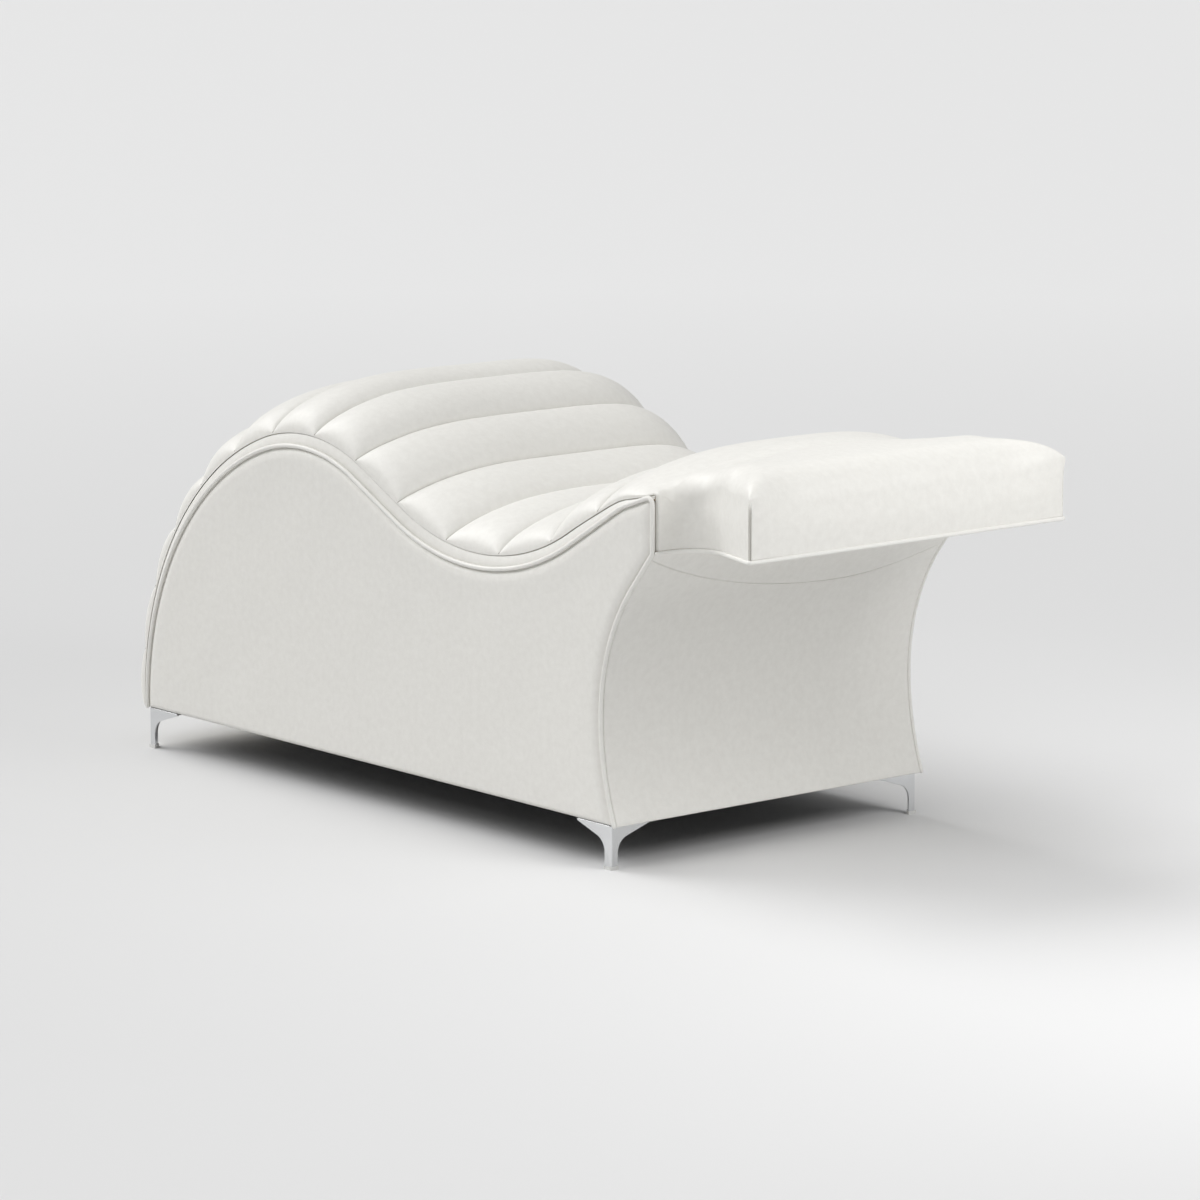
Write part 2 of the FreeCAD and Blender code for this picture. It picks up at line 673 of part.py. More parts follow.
def stiffener(side, room=0.0):
    """A flat steel bar along the top of the board, over the overhang, with room round it."""
    start = HEAD_X - STIFFENER_INSIDE - room
    end = HEAD_X + STIFFENER_REACH + room
    low = LINER + CLEARANCE + HEADREST_BOARD - room
    high = low + STIFFENER_THICKNESS + 2 * room
    half = STIFFENER_WIDTH / 2 + room
    y = side * STIFFENER_SPREAD / 2
    section = ((start, low), (end, low), (end, high), (start, high))
    corners = [(x, underside(x) + lift) for x, lift in section]
    points = [point(corner, y - half) for corner in corners + corners[:1]]
    return Part.Face(Part.makePolygon(points)).extrude(FreeCAD.Vector(0, 2 * half, 0))


def headrest():
    parts = {}
    parts["headrest_board"] = headrest_board()
    parts["headrest_rails"] = Part.makeCompound(headrest_rails())
    parts["headrest_stiffeners"] = Part.makeCompound([stiffener(-1), stiffener(1)])
    parts["headrest_cushion"] = headrest_cushion()
    parts["headrest_liner"] = headrest_liner()
    parts["headrest_piping"] = headrest_piping()
    return parts


def headrest_liner():
    """The underside's cover, inside the piping."""
    inset = PIPING_RADIUS + CLEARANCE
    (tangent_x, tangent_y), flare = notch_tangent()
    front = HEADREST_FRONT - inset
    back = NOTCH_FACE + CLEARANCE
    neck = headrest_half(NOTCH_FACE + NOTCH_RADIUS) - inset
    wide = headrest_half(front) - inset / math.cos(flare)
    corners = [(back, neck), (tangent_x, neck), (front, wide)]
    corners += [(x, -y) for x, y in reversed(corners)]
    points = [FreeCAD.Vector(x, y, underside(x)) for x, y in corners]
    edges = polyline([points[-1], points[0], points[1]])
    edges += rounded_path(points[1:-1], [PIPING_CORNER, PIPING_CORNER])
    edges.append(line(points[-2], points[-1]))
    return Part.Face(Part.Wire(edges)).extrude(FreeCAD.Vector(0, 0, LINER))


def headrest_piping():
    """Cord along the lower edge, from one side panel round the front to the other."""
    (tangent_x, tangent_y), flare = notch_tangent()
    centre_x = NOTCH_FACE + NOTCH_RADIUS
    middle = math.pi - (math.pi / 2 + flare) / 2
    corner_y = headrest_half(HEADREST_FRONT)

    def place(x, y):
        return FreeCAD.Vector(x, y, underside(x))

    def root(side):
        on_arc = place(centre_x - NOTCH_RADIUS * math.cos(math.pi - middle),
                       side * (NOTCH_Y - NOTCH_RADIUS * math.sin(math.pi - middle)))
        ends = place(NOTCH_FACE, side * NOTCH_Y), place(tangent_x, side * tangent_y)
        return Part.Arc(ends[0], on_arc, ends[1]).toShape()

    front = rounded_path(
        [place(tangent_x, -tangent_y), place(HEADREST_FRONT, -corner_y),
         place(HEADREST_FRONT, corner_y), place(tangent_x, tangent_y)],
        [PIPING_CORNER, PIPING_CORNER])
    start = line(place(NOTCH_FACE, -BAND_OUTSIDE), place(NOTCH_FACE, -NOTCH_Y))
    end = line(place(NOTCH_FACE, NOTCH_Y), place(NOTCH_FACE, BAND_OUTSIDE))
    edges = [start, root(-1), *front, root(1), end]
    return tube(Part.sortEdges(edges)[0], PIPING_RADIUS)


def seam_arc(low, side, rise):
    """Arc of the apron's seam, from its lowest point up to one side of the bed, level at its start."""
    run = side * HALF_WIDTH - low.y
    radius = (run ** 2 + rise ** 2) / (2 * rise)
    half_rise = radius - math.sqrt(radius ** 2 - (run / 2) ** 2)
    middle = low + FreeCAD.Vector(0, run / 2, half_rise)
    return Part.Arc(low, middle, low + FreeCAD.Vector(0, run, rise)).toShape()


def front_upholstery():
    """The hollow front's pad, parted along a curved seam from the apron above it."""
    sheet = above(front_strip(PAD_LEVEL, FRONT_PAD + PAD_LEVEL, FRONT_PAD_TOP, BAND_OUTSIDE), BODY_BOTTOM)
    room = 2 * FRONT_PAD
    x = FRONT[1].at(1.0)[0] - room

    def apron(drop):
        low = FreeCAD.Vector(x, APRON_LOW_PLACE, EDGE_FOOT_Z - APRON_LOW_DROP - drop)
        top = EDGE_FOOT_Z + room
        rises = ((-1, APRON_LEFT_RISE), (1, APRON_RIGHT_RISE))
        edges = [seam_arc(low, side, rise) for side, rise in rises]
        corners = [FreeCAD.Vector(x, side * HALF_WIDTH, low.z + rise) for side, rise in rises]
        tops = [FreeCAD.Vector(x, side * HALF_WIDTH, top) for side in (-1, 1)]
        edges += polyline([corners[0], *tops, corners[1]])
        face = Part.Face(Part.Wire(Part.sortEdges(edges)[0]))
        return face.extrude(FreeCAD.Vector(2 * HEADREST_REACH, 0, 0))

    return {"front_apron": sheet.common(apron(0.0)), "front_pad": sheet.cut(apron(APRON_GAP))}


def leg_corner(end):
    """Outer corner of the leg on the client's left, at the foot end (-1) or the head end (1)."""
    x = FRONT_X - LEG_SETBACK if end > 0 else FOOT_X + FOOT_LEG_SETBACK
    return x, -HALF_WIDTH + LEG_SIDE_SETBACK


def at_corner(shape, end, side):
    """Turn a piece drawn from (0, 0) into +X and +Y into one of the bed's four corners."""
    x, y = leg_corner(end)
    if end > 0:
        shape = shape.mirror(FreeCAD.Vector(0, 0, 0), FreeCAD.Vector(1, 0, 0))
    shape.translate(FreeCAD.Vector(x, y, 0))
    return mirrored(shape) if side > 0 else shape


def screw(x, y):
    """A round-headed wood screw, from under the leg's plate up into its block."""
    head_z = LEG_HEIGHT - LEG_PLATE - SCREW_HEAD
    head = Part.makeCylinder(SCREW_HEAD_RADIUS, SCREW_HEAD, FreeCAD.Vector(x, y, head_z))
    shank = Part.makeCylinder(SCREW_RADIUS, SCREW_LENGTH, FreeCAD.Vector(x, y, head_z + SCREW_HEAD))
    return head.fuse(shank)


def screw_hole(x, y):
    start = FreeCAD.Vector(x, y, LEG_HEIGHT - 2 * LEG_PLATE)
    return Part.makeCylinder(SCREW_RADIUS + SCREW_ROOM, SCREW_LENGTH + 2 * LEG_PLATE, start)


def screw_holes():
    holes = Part.makeCompound([screw_hole(x, y) for x, y in SCREW_PLACES])
    return [at_corner(holes.copy(), end, side) for end in (-1, 1) for side in (-1, 1)]


def leg_wing():
    """One wall of a leg in elevation, from its post out to the tip of its wing."""
    top = LEG_HEIGHT
    bottom = GLIDE_FLOOR
    points = [
        (0, bottom), (0, top), (LEG_WING, top), (LEG_WING, top - LEG_WING_TIP),
        (LEG_POST, top - LEG_WING_ROOT), (LEG_POST, bottom),
    ]
    corners = [FreeCAD.Vector(x, 0, z) for x, z in points]
    edges = polyline(corners[:4]) + rounded_path(corners[3:], [LEG_FILLET])
    edges.append(line(corners[-1], corners[0]))
    return Part.Face(Part.Wire(edges)).extrude(FreeCAD.Vector(0, LEG_WALL, 0))


def angle_plan(leg, wall, grow, low, high):
    """An angle section standing on end, grown all round."""
    far = leg + grow
    near = wall + grow
    plan = [(-grow, -grow), (far, -grow), (far, near), (near, near), (near, far), (-grow, far)]
    points = [FreeCAD.Vector(x, y, low) for x, y in plan + plan[:1]]
    return Part.Face(Part.makePolygon(points)).extrude(FreeCAD.Vector(0, 0, high - low))


def leg():
    """Chrome corner leg: two tapering wings on an angle post, and a screw plate."""
    wing = leg_wing()
    turned = wing.mirror(FreeCAD.Vector(0, 0, 0), FreeCAD.Vector(1, -1, 0))
    inner = LEG_PLATE_CORNER
    plan = [(0, 0), (LEG_WING, 0), (LEG_WING, inner), (inner, LEG_WING), (0, LEG_WING)]
    points = [FreeCAD.Vector(x, y, LEG_HEIGHT - LEG_PLATE) for x, y in plan + plan[:1]]
    plate = Part.Face(Part.makePolygon(points)).extrude(FreeCAD.Vector(0, 0, LEG_PLATE))
    plate = plate.cut([screw_hole(x, y) for x, y in SCREW_PLACES])
    edge = LEG_CHAMFER
    cut = [(-edge, -edge), (edge, -edge), (edge, 0), (0, edge), (-edge, edge)]
    points = [FreeCAD.Vector(x, y, 0) for x, y in cut + cut[:1]]
    chamfer = Part.Face(Part.makePolygon(points)).extrude(FreeCAD.Vector(0, 0, LEG_HEIGHT))
    return wing.fuse([turned, plate]).removeSplitter().cut(chamfer)


def glide():
    """Plastic shoe under a leg's post."""
    shoe = angle_plan(LEG_POST, LEG_WALL, GLIDE_WALL, 0.0, GLIDE_HEIGHT)
    return shoe.cut(angle_plan(LEG_POST, LEG_WALL, GLIDE_ROOM, GLIDE_FLOOR, GLIDE_HEIGHT))


def feet():
    parts = {}
    screws = []
    for end, end_name in ((-1, "foot"), (1, "head")):
        for side, side_name in ((-1, "left"), (1, "right")):
            parts["leg_%s_%s" % (end_name, side_name)] = at_corner(leg(), end, side)
            parts["glide_%s_%s" % (end_name, side_name)] = at_corner(glide(), end, side)
            screws += [at_corner(screw(x, y), end, side) for x, y in SCREW_PLACES]
    parts["leg_screws"] = Part.makeCompound(screws)
    return parts


def main():
    parts = {}
    for group in (carcass, side_upholstery, seat_top, headrest, front_upholstery, feet):
        parts.update(group())
    whole = Part.makeCompound(list(parts.values())).optimalBoundingBox()
    shift = FreeCAD.Vector(-(whole.XMin + whole.XMax) / 2, 0, 0)
    os.makedirs("parts", exist_ok=True)
    for name, shape in parts.items():
        shape.translate(shift)
        shape.exportStep(os.path.join("parts", name + ".step"))


main()
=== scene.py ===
import math

import bmesh
import bpy
import numpy as np
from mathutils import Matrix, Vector


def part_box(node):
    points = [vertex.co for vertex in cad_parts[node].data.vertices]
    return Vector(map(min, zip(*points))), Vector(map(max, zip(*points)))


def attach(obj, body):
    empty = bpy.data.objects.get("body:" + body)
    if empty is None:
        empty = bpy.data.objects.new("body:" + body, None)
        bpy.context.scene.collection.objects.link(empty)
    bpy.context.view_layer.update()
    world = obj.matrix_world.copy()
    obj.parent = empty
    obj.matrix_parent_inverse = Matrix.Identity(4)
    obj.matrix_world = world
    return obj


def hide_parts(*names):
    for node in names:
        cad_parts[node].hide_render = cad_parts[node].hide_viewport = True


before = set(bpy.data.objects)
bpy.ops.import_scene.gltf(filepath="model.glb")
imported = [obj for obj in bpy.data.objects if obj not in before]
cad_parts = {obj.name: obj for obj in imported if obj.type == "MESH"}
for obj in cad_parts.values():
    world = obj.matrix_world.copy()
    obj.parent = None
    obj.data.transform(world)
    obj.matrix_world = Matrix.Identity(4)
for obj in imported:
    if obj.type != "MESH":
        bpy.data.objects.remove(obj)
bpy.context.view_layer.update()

# Side outline of the body, in metres and radians, as in the part's source
FOOT_RADIUS = 0.577
HUMP_HEIGHT = 0.575
HUMP_RADIUS = 0.372
HUMP_FOOT = math.radians(20.2)
FLANK = math.radians(27)
FLANK_RUN = 0.136
DIP_RADIUS = 0.520
RISE = math.radians(30.6)
RISE_RUN = 0.155
CREST_RADIUS = 0.159
HEAD_SLOPE = math.radians(19.1)
HEAD_RUN = 0.074
HEAD_EDGE = 0.103
LEAN = math.radians(38.9)
FRONT_RUN = 0.088
FRONT_UPPER_RADIUS = 0.381
FRONT_LOWER_RADIUS = 0.516
OUTLINE_STEP = 0.004  # between points along the outline
CORNER_POINTS = 13

# Meshes
SEWN_GAP = 2e-6  # points closer than this become one
LEAST_EDGE = 1e-6
SHARP_ANGLE = math.radians(50)
NEARLY_ZERO = 1e-9

# Side panels and pipings
CLEARANCE = 0.0003
PIPING_RADIUS = 0.004
PIPING_CORNER = 0.011
PIPING_LEVEL = -0.001
CORD_SIDES = 14
CORD_POINTS = 720
DOME_POINTS = 5
DOME_TIP = 0.02  # share of a cord's width left at its end
PAD_EDGE_LEVEL = PIPING_LEVEL - PIPING_RADIUS - CLEARANCE
PANEL_ROWS = 72
PANEL_COLUMNS = 150
RIM_WIDTH = 0.021
RIM_DEPTH = 0.012
RIM_UNDER = 0.010  # its width along the bottom edge
RIM_CORNER = 0.004  # least radius of its corners
RIM_POINTS = 11
PANEL_WAVE_DEPTH = 0.0006  # slight unevenness of a panel's face
PANEL_WAVE = 0.22
PANEL_WAVE_RISE = 6  # how fast it starts from the panel's border
PANEL_SEED = 3

# Boxing bands
BAND_RISE = 0.022
BAND_LEAN = 0.006
BAND_SWELL = 0.0012
BAND_INSET = 0.0006  # of its face from the CAD band's
BAND_FOOT = -0.0056  # level of its foot, behind the piping
BAND_FOOT_INSET = 0.0015
BAND_TOP_DROP = 0.0015
BAND_BED = 0.0004  # level of its underside on the frame
BAND_LAP = 0.0008  # from the frame's face to the band
BAND_LAP_FOOT = 0.001
BAND_TURN = ((0.0006, 0.0014), (0.0004, 0.005))  # drop and inset of the upper edge as it turns in
BAND_TURN_END = 0.001
BAND_END = 0.002  # its height at the head corner
BAND_TAPER = 0.3  # share of its height lost on the rise to the neck
BAND_TAPER_RUN = 0.200
BAND_END_RUN = 0.150
BAND_FACE_POINTS = 9
BAND_ROWS = 420

# Sewn top
SEAM_DEPTH = 0.003
SEAM_GAP = 0.0006
SEAM_THREAD = 0.0009
THREAD_POINTS = 81
QUILT_LEVEL = 0.060
CHANNEL_PITCH = 0.143
CHANNEL_ROWS = 97
CHANNEL_COLUMNS = 27
NECK_RUN = 0.178
FOOT_CROWN = 0.022
HUMP_CROWN = 0.066
SEAT_CROWN = 0.060
HEAD_CROWN = 0.036
CROWN_RUN = 0.620
CROWN_FALL = 0.200
CROWN_POWER_LEFT = 3.2  # the photo shows the crown fuller on the client's right
CROWN_POWER_RIGHT = 6.0
CROWN_POWER_NECK = 2.0
CHANNEL_BULGE = 0.026
END_BULGE = 0.002
BULGE_ROUND = 0.55
FULLNESS_POWER = 30
EASE = 0.03  # unevenness of the stuffing, as a share of its height
EASE_WAVE = 0.25
EASE_SEED = 20
PUCKER = 0.0004  # depth of the ripples beside a seam
PUCKER_WAVE = 0.028
PUCKER_REACH = 0.016
PUCKER_FULL = 0.006  # stuffing height at which they are full
PUCKER_SEED = 60
FOAM_ROWS = 25
FOAM_COLUMNS = 120

# Neck
NECK_ROWS = 31
NECK_BULGE = 0.0128
NECK_RISE = 2.2  # how soon the neck is full after the last seam
NECK_SETTLE = 0.45  # share of its run from which it settles to the slab

# Headrest
HEADREST_REACH = 0.256
HEADREST_SLOPE = 0.07
HEADREST_COLUMNS = 121
SIDE_CLOSE = 2.0  # how much closer the columns lie at the sides
EVEN_SHARE = 0.62  # of the outline with even rows, which then close up to the front
EVEN_ROWS = 70
CLOSING_ROWS = 46
FRONT_CLOSE = 2.2
SQUARE_RUN = 0.060  # behind the front, with rows square to the bed
ROW_SWEEP = 0.8
WALL_ROWS = 15
NOTCH_RADIUS = 0.050
NOTCH_INSET = 0.032
NOTCH_SWEEP = 0.130  # radius between the notch's root and its straight flare
NOTCH_SETBACK = 0.0025
ROOT_POINTS = 16
SWEEP_POINTS = 14
CHEEK_POINTS = 7
SLAB_TOP = 0.743
SLAB_CROWN = 0.004
SLAB_BLEND = 0.140
FOLD_PLACE = 0.040  # of the soft fold between neck and slab, ahead of the head corner
FOLD_WIDTH = 0.018
FOLD_DEPTH = 0.003
FOLD_POWER = 4  # how late it fades towards the sides
TOP_ROUND = 0.034
SIDE_SPREAD = 1.2  # how much wider than high the top's rounding is
FRONT_SPREAD = 1.5
FRONT_ROUND = 0.056  # of the front's edge, apart from its corners
FRONT_BLEND = 0.130
FRONT_DEPTH = 0.160
FRONT_OPEN = 0.015  # how much its rounding stops short of upright
FRONT_SET = 0.008  # how far back the front face starts at its top
WALL_SWELL = 0.0025
CHEEK_GRIP = 0.03  # from a cheek to the wall's full swell
CORNER_GRIP = 0.04
CHEEK_ROUND = 0.003
CHEEK_EDGE = 0.0045
CHEEK_BLEND = 0.040  # from a cheek to the edge's full rounding
CORNER_POWER = 3  # how little the roundings of two edges add up at a corner
CREASE_DEPTH = 0.010
CREASE_WIDTH = 0.0034
CREASE_TOP = 0.02  # its start, as a share of the wall's height
CREASE_RUN = 0.25
CREASE_HEADING = (-0.62, -0.78)  # back and inward
CREASE_WELT = 0.7  # height of the welt in it, as a share of its depth
WELT_NARROW = 3  # how much narrower the welt is than the crease
HEADREST_CORD_POINTS = 900
CORD_EASE = 15  # points over which the headrest's cord rounds its corners
LINER_EDGE = 0.006
LINER_FIT = 0.99
LINER_HALF = 0.0008
LINER_ROWS = 80
LINER_COLUMNS = 41

# Front
FRONT_ROWS = 60
FRONT_COLUMNS = 121
FRONT_FACE_LEVEL = 0.0033
FRONT_BACK_LEVEL = -0.0015
FRONT_TOP = 0.002
FRONT_EDGE_ROLL = 0.010
FRONT_ROLL_DEPTH = 0.003
FRONT_LAP = 0.006  # width of the rounding along the panels' ends
FRONT_LAP_DEPTH = 0.0012
FRONT_SAMPLES = 600
APRON_LOW_PLACE = 0.130
APRON_LOW_DROP = 0.110
APRON_LEFT_RISE = 0.100
APRON_RIGHT_RISE = 0.050
APRON_GAP = 0.0003

# Dust cover and legs
DUST_ROWS = 71
DUST_COLUMNS = 37
DUST_GAP = 0.0004
DUST_SAG = 0.0012
DUST_WAVE_DEPTH = 0.0003
DUST_WAVE = 0.12
DUST_SEED = 5
LEG_EDGE = 0.0012
LEG_EDGE_STEPS = 3
LEG_EDGE_ANGLE = math.radians(40)
LEG_WELD = 1e-5

# Camera, found from the photograph
CAMERA_AHEAD = 6.9155  # of the head corner
CAMERA_SIDE = -6.2712
CAMERA_HEIGHT = 2.1159
CAMERA_AZIMUTH = math.radians(50.106)
CAMERA_ELEVATION = math.radians(10.07)
CAMERA_LENS = 159.76
SENSOR_WIDTH = 36.0
CAMERA_CLIP = 200.0

# Light
FILL_LIGHT = 0.33
STUDIO_LIGHT = 0.46
SUN_SPREAD = math.radians(45)
SUNS = {  # direction to it, and strength
    "side": ((0.0, -0.65, 0.76), 0.88),
    "back": ((-0.7, -0.2, 0.68), 1.95),
}
HEAD_LIGHT = 23.0  # soft box ahead of the headrest, in watts
HEAD_LIGHT_PLACE = (2.4, 0.45, 1.8)
HEAD_LIGHT_AIM = (0.8, 0.0, 0.6)
HEAD_LIGHT_SIZE = 1.2
# Painted shade: the floor is darker near the bed, where the head light falls on it more.
FLOOR_NEAR_PAINTED_SHADE = 0.71
FLOOR_FAR = 0.825
FLOOR_FADE = (2.0, 8.0)  # distances between which its tone changes from the painted shade near the bed to the far tone
FLOOR_REACH = 40.0
FLOOR_ROUGH = 0.9
FLOOR_GLOSS = 0.1

# Places taken from the frame
BODY_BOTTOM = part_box("dust_cover")[0].z
HALF_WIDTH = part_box("side_pad_right")[1].y
FRAME_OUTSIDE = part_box("side_frame_right")[1].y
CHANNEL_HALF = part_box("neck_pad")[1].y
FRONT_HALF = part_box("front_pad")[1].y
BAND_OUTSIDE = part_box("boxing_band_right")[1].y
BAND_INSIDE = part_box("boxing_band_right")[0].y
FOAM_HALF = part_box("seat_foam")[1].y
HEADREST_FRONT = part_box("headrest_piping")[1].x - PIPING_RADIUS
HEAD_X = HEADREST_FRONT - HEADREST_REACH
HEAD_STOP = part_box("neck_pad")[1].x
PIPING_Y = HALF_WIDTH - PIPING_RADIUS
NOTCH_Y = HALF_WIDTH - NOTCH_INSET
NOTCH_FACE = HEAD_X + NOTCH_SETBACK


class Span:
    """A straight or curved run of the side outline."""

    def __init__(self, start, heading, length, turn=0.0):
        self.start = start
        self.heading = heading
        self.length = length
        self.turn = turn

    def at(self, share, level=0.0):
        """Points a share of the way along, moved off by a level to the outside."""
        share, level = np.broadcast_arrays(np.asarray(share, float), np.asarray(level, float))
        angle = self.heading + share * self.turn
        x, z = self.start
        if self.turn:
            radius = self.length / self.turn
            x = x + radius * (np.sin(angle) - math.sin(self.heading))
            z = z - radius * (np.cos(angle) - math.cos(self.heading))
        else:
            x = x + share * self.length * math.cos(self.heading)
            z = z + share * self.length * math.sin(self.heading)
        return np.stack([x - level * np.sin(angle), z + level * np.cos(angle)], axis=-1)

    def length_at(self, level):
        """Length of the run once it is moved off by a level."""
        return self.length - level * self.turn


def walk(start, heading, steps):
    """Spans of straight lengths and (radius, turn) arcs, each from the end of the last."""
    spans = []
    for step in steps:
        if isinstance(step, tuple):
            radius, turn = step
            span = Span(start, heading, radius * abs(turn), turn)
        else:
            span = Span(start, heading, step)
        spans.append(span)
        start = tuple(span.at(1.0))
        heading += span.turn
    return spans


def side_outline():
    """The wave from the foot end to the head corner, the head edge, and the hollow front."""
    hump_drop = HUMP_RADIUS * (1 - math.cos(HUMP_FOOT))
    heading = math.acos(math.cos(HUMP_FOOT) - (HUMP_HEIGHT - hump_drop) / FOOT_RADIUS)
    steps = (
        (FOOT_RADIUS, HUMP_FOOT - heading), (HUMP_RADIUS, -HUMP_FOOT - FLANK), FLANK_RUN,
        (DIP_RADIUS, FLANK + RISE), RISE_RUN, (CREST_RADIUS, HEAD_SLOPE - RISE), HEAD_RUN,
    )
    reach = walk((0.0, BODY_BOTTOM), heading, steps)[-1].at(1.0)[0]
    wave = walk((HEAD_X - reach, BODY_BOTTOM), heading, steps)
    edge = walk(tuple(wave[-1].at(1.0)), -math.pi / 2, (HEAD_EDGE,))
    front = walk(tuple(edge[0].at(1.0)), -math.pi / 2 - LEAN, (FRONT_RUN, (FRONT_UPPER_RADIUS, LEAN)))
    throat = tuple(front[-1].at(1.0))
    kick = math.asin((throat[1] - BODY_BOTTOM) / FRONT_LOWER_RADIUS)
    front += walk(throat, -math.pi / 2, ((FRONT_LOWER_RADIUS, kick),))
    return wave, edge[0], front


WAVE, EDGE, FRONT = side_outline()
EDGE_FOOT_Z = EDGE.at(1.0)[1]
QUILT_LENGTH = sum(span.length_at(QUILT_LEVEL) for span in WAVE)
HUMP_SHARE = HUMP_FOOT / (HUMP_FOOT + FLANK)
HUMP_PLACE = WAVE[0].length_at(QUILT_LEVEL) + WAVE[1].length_at(QUILT_LEVEL) * HUMP_SHARE
RISE_PLACE = sum(span.length_at(QUILT_LEVEL) for span in WAVE[:4])
NECK_PLACE = QUILT_LENGTH - NECK_RUN


def along(spans, distance, level, measured_at):
    """Points at distances along a row of spans, with the distance measured at one level."""
    distance, level = np.broadcast_arrays(np.asarray(distance, float), np.asarray(level, float))
    points = spans[0].at(distance / spans[0].length_at(measured_at), level)
    start = spans[0].length_at(measured_at)
    for span in spans[1:]:
        length = span.length_at(measured_at)
        here = distance >= start
        points[here] = span.at((distance[here] - start) / length, level[here])
        start += length
    return points


def lift(xz, y):
    """Points of the side view at given places across the bed."""
    y = np.broadcast_to(y, xz.shape[:-1])
    return np.stack([xz[..., 0], y, xz[..., 1]], axis=-1)


def head_distance(level):
    """How far along the wave a level meets the upright end of the neck."""
    last = WAVE[-1]
    run = HEAD_STOP - last.start[0] + level * math.sin(last.heading)
    return QUILT_LENGTH - last.length + run / math.cos(last.heading)


def smooth_step(value):
    """From 0 to 1 with level ends."""
    value = np.clip(value, 0.0, 1.0)
    return value * value * (3 - 2 * value)


def soft_noise(points, wavelength, seed):
    """Smooth noise of about unit height, from a seeded set of plane waves."""
    dice = np.random.RandomState(seed)
    total = np.zeros(points.shape[:-1])
    waves = 14
    for _ in range(waves):
        direction = dice.normal(size=3)
        direction *= 2 * math.pi / (wavelength * dice.uniform(0.7, 1.4) * np.linalg.norm(direction))
        total += np.sin(points @ direction + dice.uniform(0, 2 * math.pi))
    return total / math.sqrt(waves)


class Patchwork:
    """Grids and polygons of points that are sewn into one closed mesh."""

    def __init__(self):
        self.points = []
        self.faces = []
        self.count = 0

    def add(self, points):
        first = self.count
        self.points.append(points.reshape(-1, 3))
        self.count += len(self.points[-1])
        return first

    def grid(self, points, wrap=False):
        rows, columns = points.shape[:2]
        first = self.add(points)
        last = columns if wrap else columns - 1
        for row in range(rows - 1):
            for column in range(last):
                near = first + row * columns + column
                beside = first + row * columns + (column + 1) % columns
                self.faces.append((near, beside, beside + columns, near + columns))

    def polygon(self, points):
        first = self.add(points)
        self.faces.append(tuple(range(first, first + len(points))))

    def slab(self, outer, inner):
        """Two grids of the same count, closed along their four borders."""
        self.grid(outer)
        self.grid(inner)
        for border in (np.s_[0], np.s_[-1], np.s_[:, 0], np.s_[:, -1]):
            self.grid(np.stack([outer[border], inner[border]]))

    def tube(self, rings):
        """Rings of points, closed by a polygon at each end."""
        self.grid(rings, wrap=True)
        self.polygon(rings[0])
        self.polygon(rings[-1])

    def mesh(self, name):
        mesh = bpy.data.meshes.new(name)
        mesh.from_pydata(np.concatenate(self.points).tolist(), [], self.faces)
        work = bmesh.new()
        work.from_mesh(mesh)
        bmesh.ops.remove_doubles(work, verts=work.verts, dist=SEWN_GAP)
        bmesh.ops.dissolve_degenerate(work, edges=work.edges, dist=LEAST_EDGE)
        bmesh.ops.recalc_face_normals(work, faces=work.faces)
        work.to_mesh(mesh)
        work.free()
        return mesh


def new_object(name, data):
    """An object that is linked into the scene."""
    thing = bpy.data.objects.new(name, data)
    bpy.context.collection.objects.link(thing)
    return thing


def make_piece(name, patches, material, nodes=()):
    """A piece of the bed from its patches, in place of some CAD nodes."""
    mesh = patches.mesh(name)
    mesh.shade_smooth()
    mesh.set_sharp_from_angle(angle=SHARP_ANGLE)
    mesh.materials.append(material)
    piece = new_object(name, mesh)
    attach(piece, "root")
    if nodes:
        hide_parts(*nodes)
    return piece


# Materials

class Recipe:
    """The shader nodes of a material, or of the world."""

    def __init__(self, owner, shader):
        owner.use_nodes = True
        self.owner = owner
        self.nodes = owner.node_tree.nodes
        self.links = owner.node_tree.links
        self.shader = self.nodes[shader]

    def feed(self, node, inputs):
        """Give inputs of a node their values, or links from other nodes' outputs."""
        for name, value in inputs.items():
            if isinstance(value, bpy.types.NodeSocket):
                self.links.new(value, node.inputs[name])
            else:
                node.inputs[name].default_value = value

    def add(self, kind, output, inputs, **settings):
        """One output of a new node."""
        node = self.nodes.new("ShaderNode" + kind)
        for name, value in settings.items():
            setattr(node, name, value)
        self.feed(node, inputs)
        return node.outputs[output]

    def place(self):
        """Coordinates in the object's own space."""
        return self.add("TexCoord", "Object", {})

    def noise(self, vector, scale, detail=3.0, roughness=0.5):
        inputs = {"Vector": vector, "Scale": scale, "Detail": detail, "Roughness": roughness}
        return self.add("TexNoise", "Fac", inputs)

    def ramp(self, value, *stops):
        """Colours between two stops, each a place and a colour."""
        node = self.nodes.new("ShaderNodeValToRGB")
        for element, (place, colour) in zip(node.color_ramp.elements, stops):
            element.position = place
            element.color = (*colour, 1.0)
        self.feed(node, {"Fac": value})
        return node.outputs["Color"]

    def rescaled(self, value, low, high, from_low=0.0, from_high=1.0):
        """A value brought from one range to another."""
        ends = {"From Min": from_low, "From Max": from_high, "To Min": low, "To Max": high}
        return self.add("MapRange", "Result", {"Value": value, **ends})

    def finish(self, inputs, *bumps):
        """Feed the shader. Bumps of (height, depth in metres, strength) lie one over the other."""
        normal = {}
        for height, depth, strength in bumps:
            bump = {"Height": height, "Distance": depth, "Strength": strength, **normal}
            normal = {"Normal": self.add("Bump", "Normal", bump)}
        self.feed(self.shader, {**inputs, **normal})
        return self.owner


def new_material(name):
    return Recipe(bpy.data.materials.new(name), "Principled BSDF")


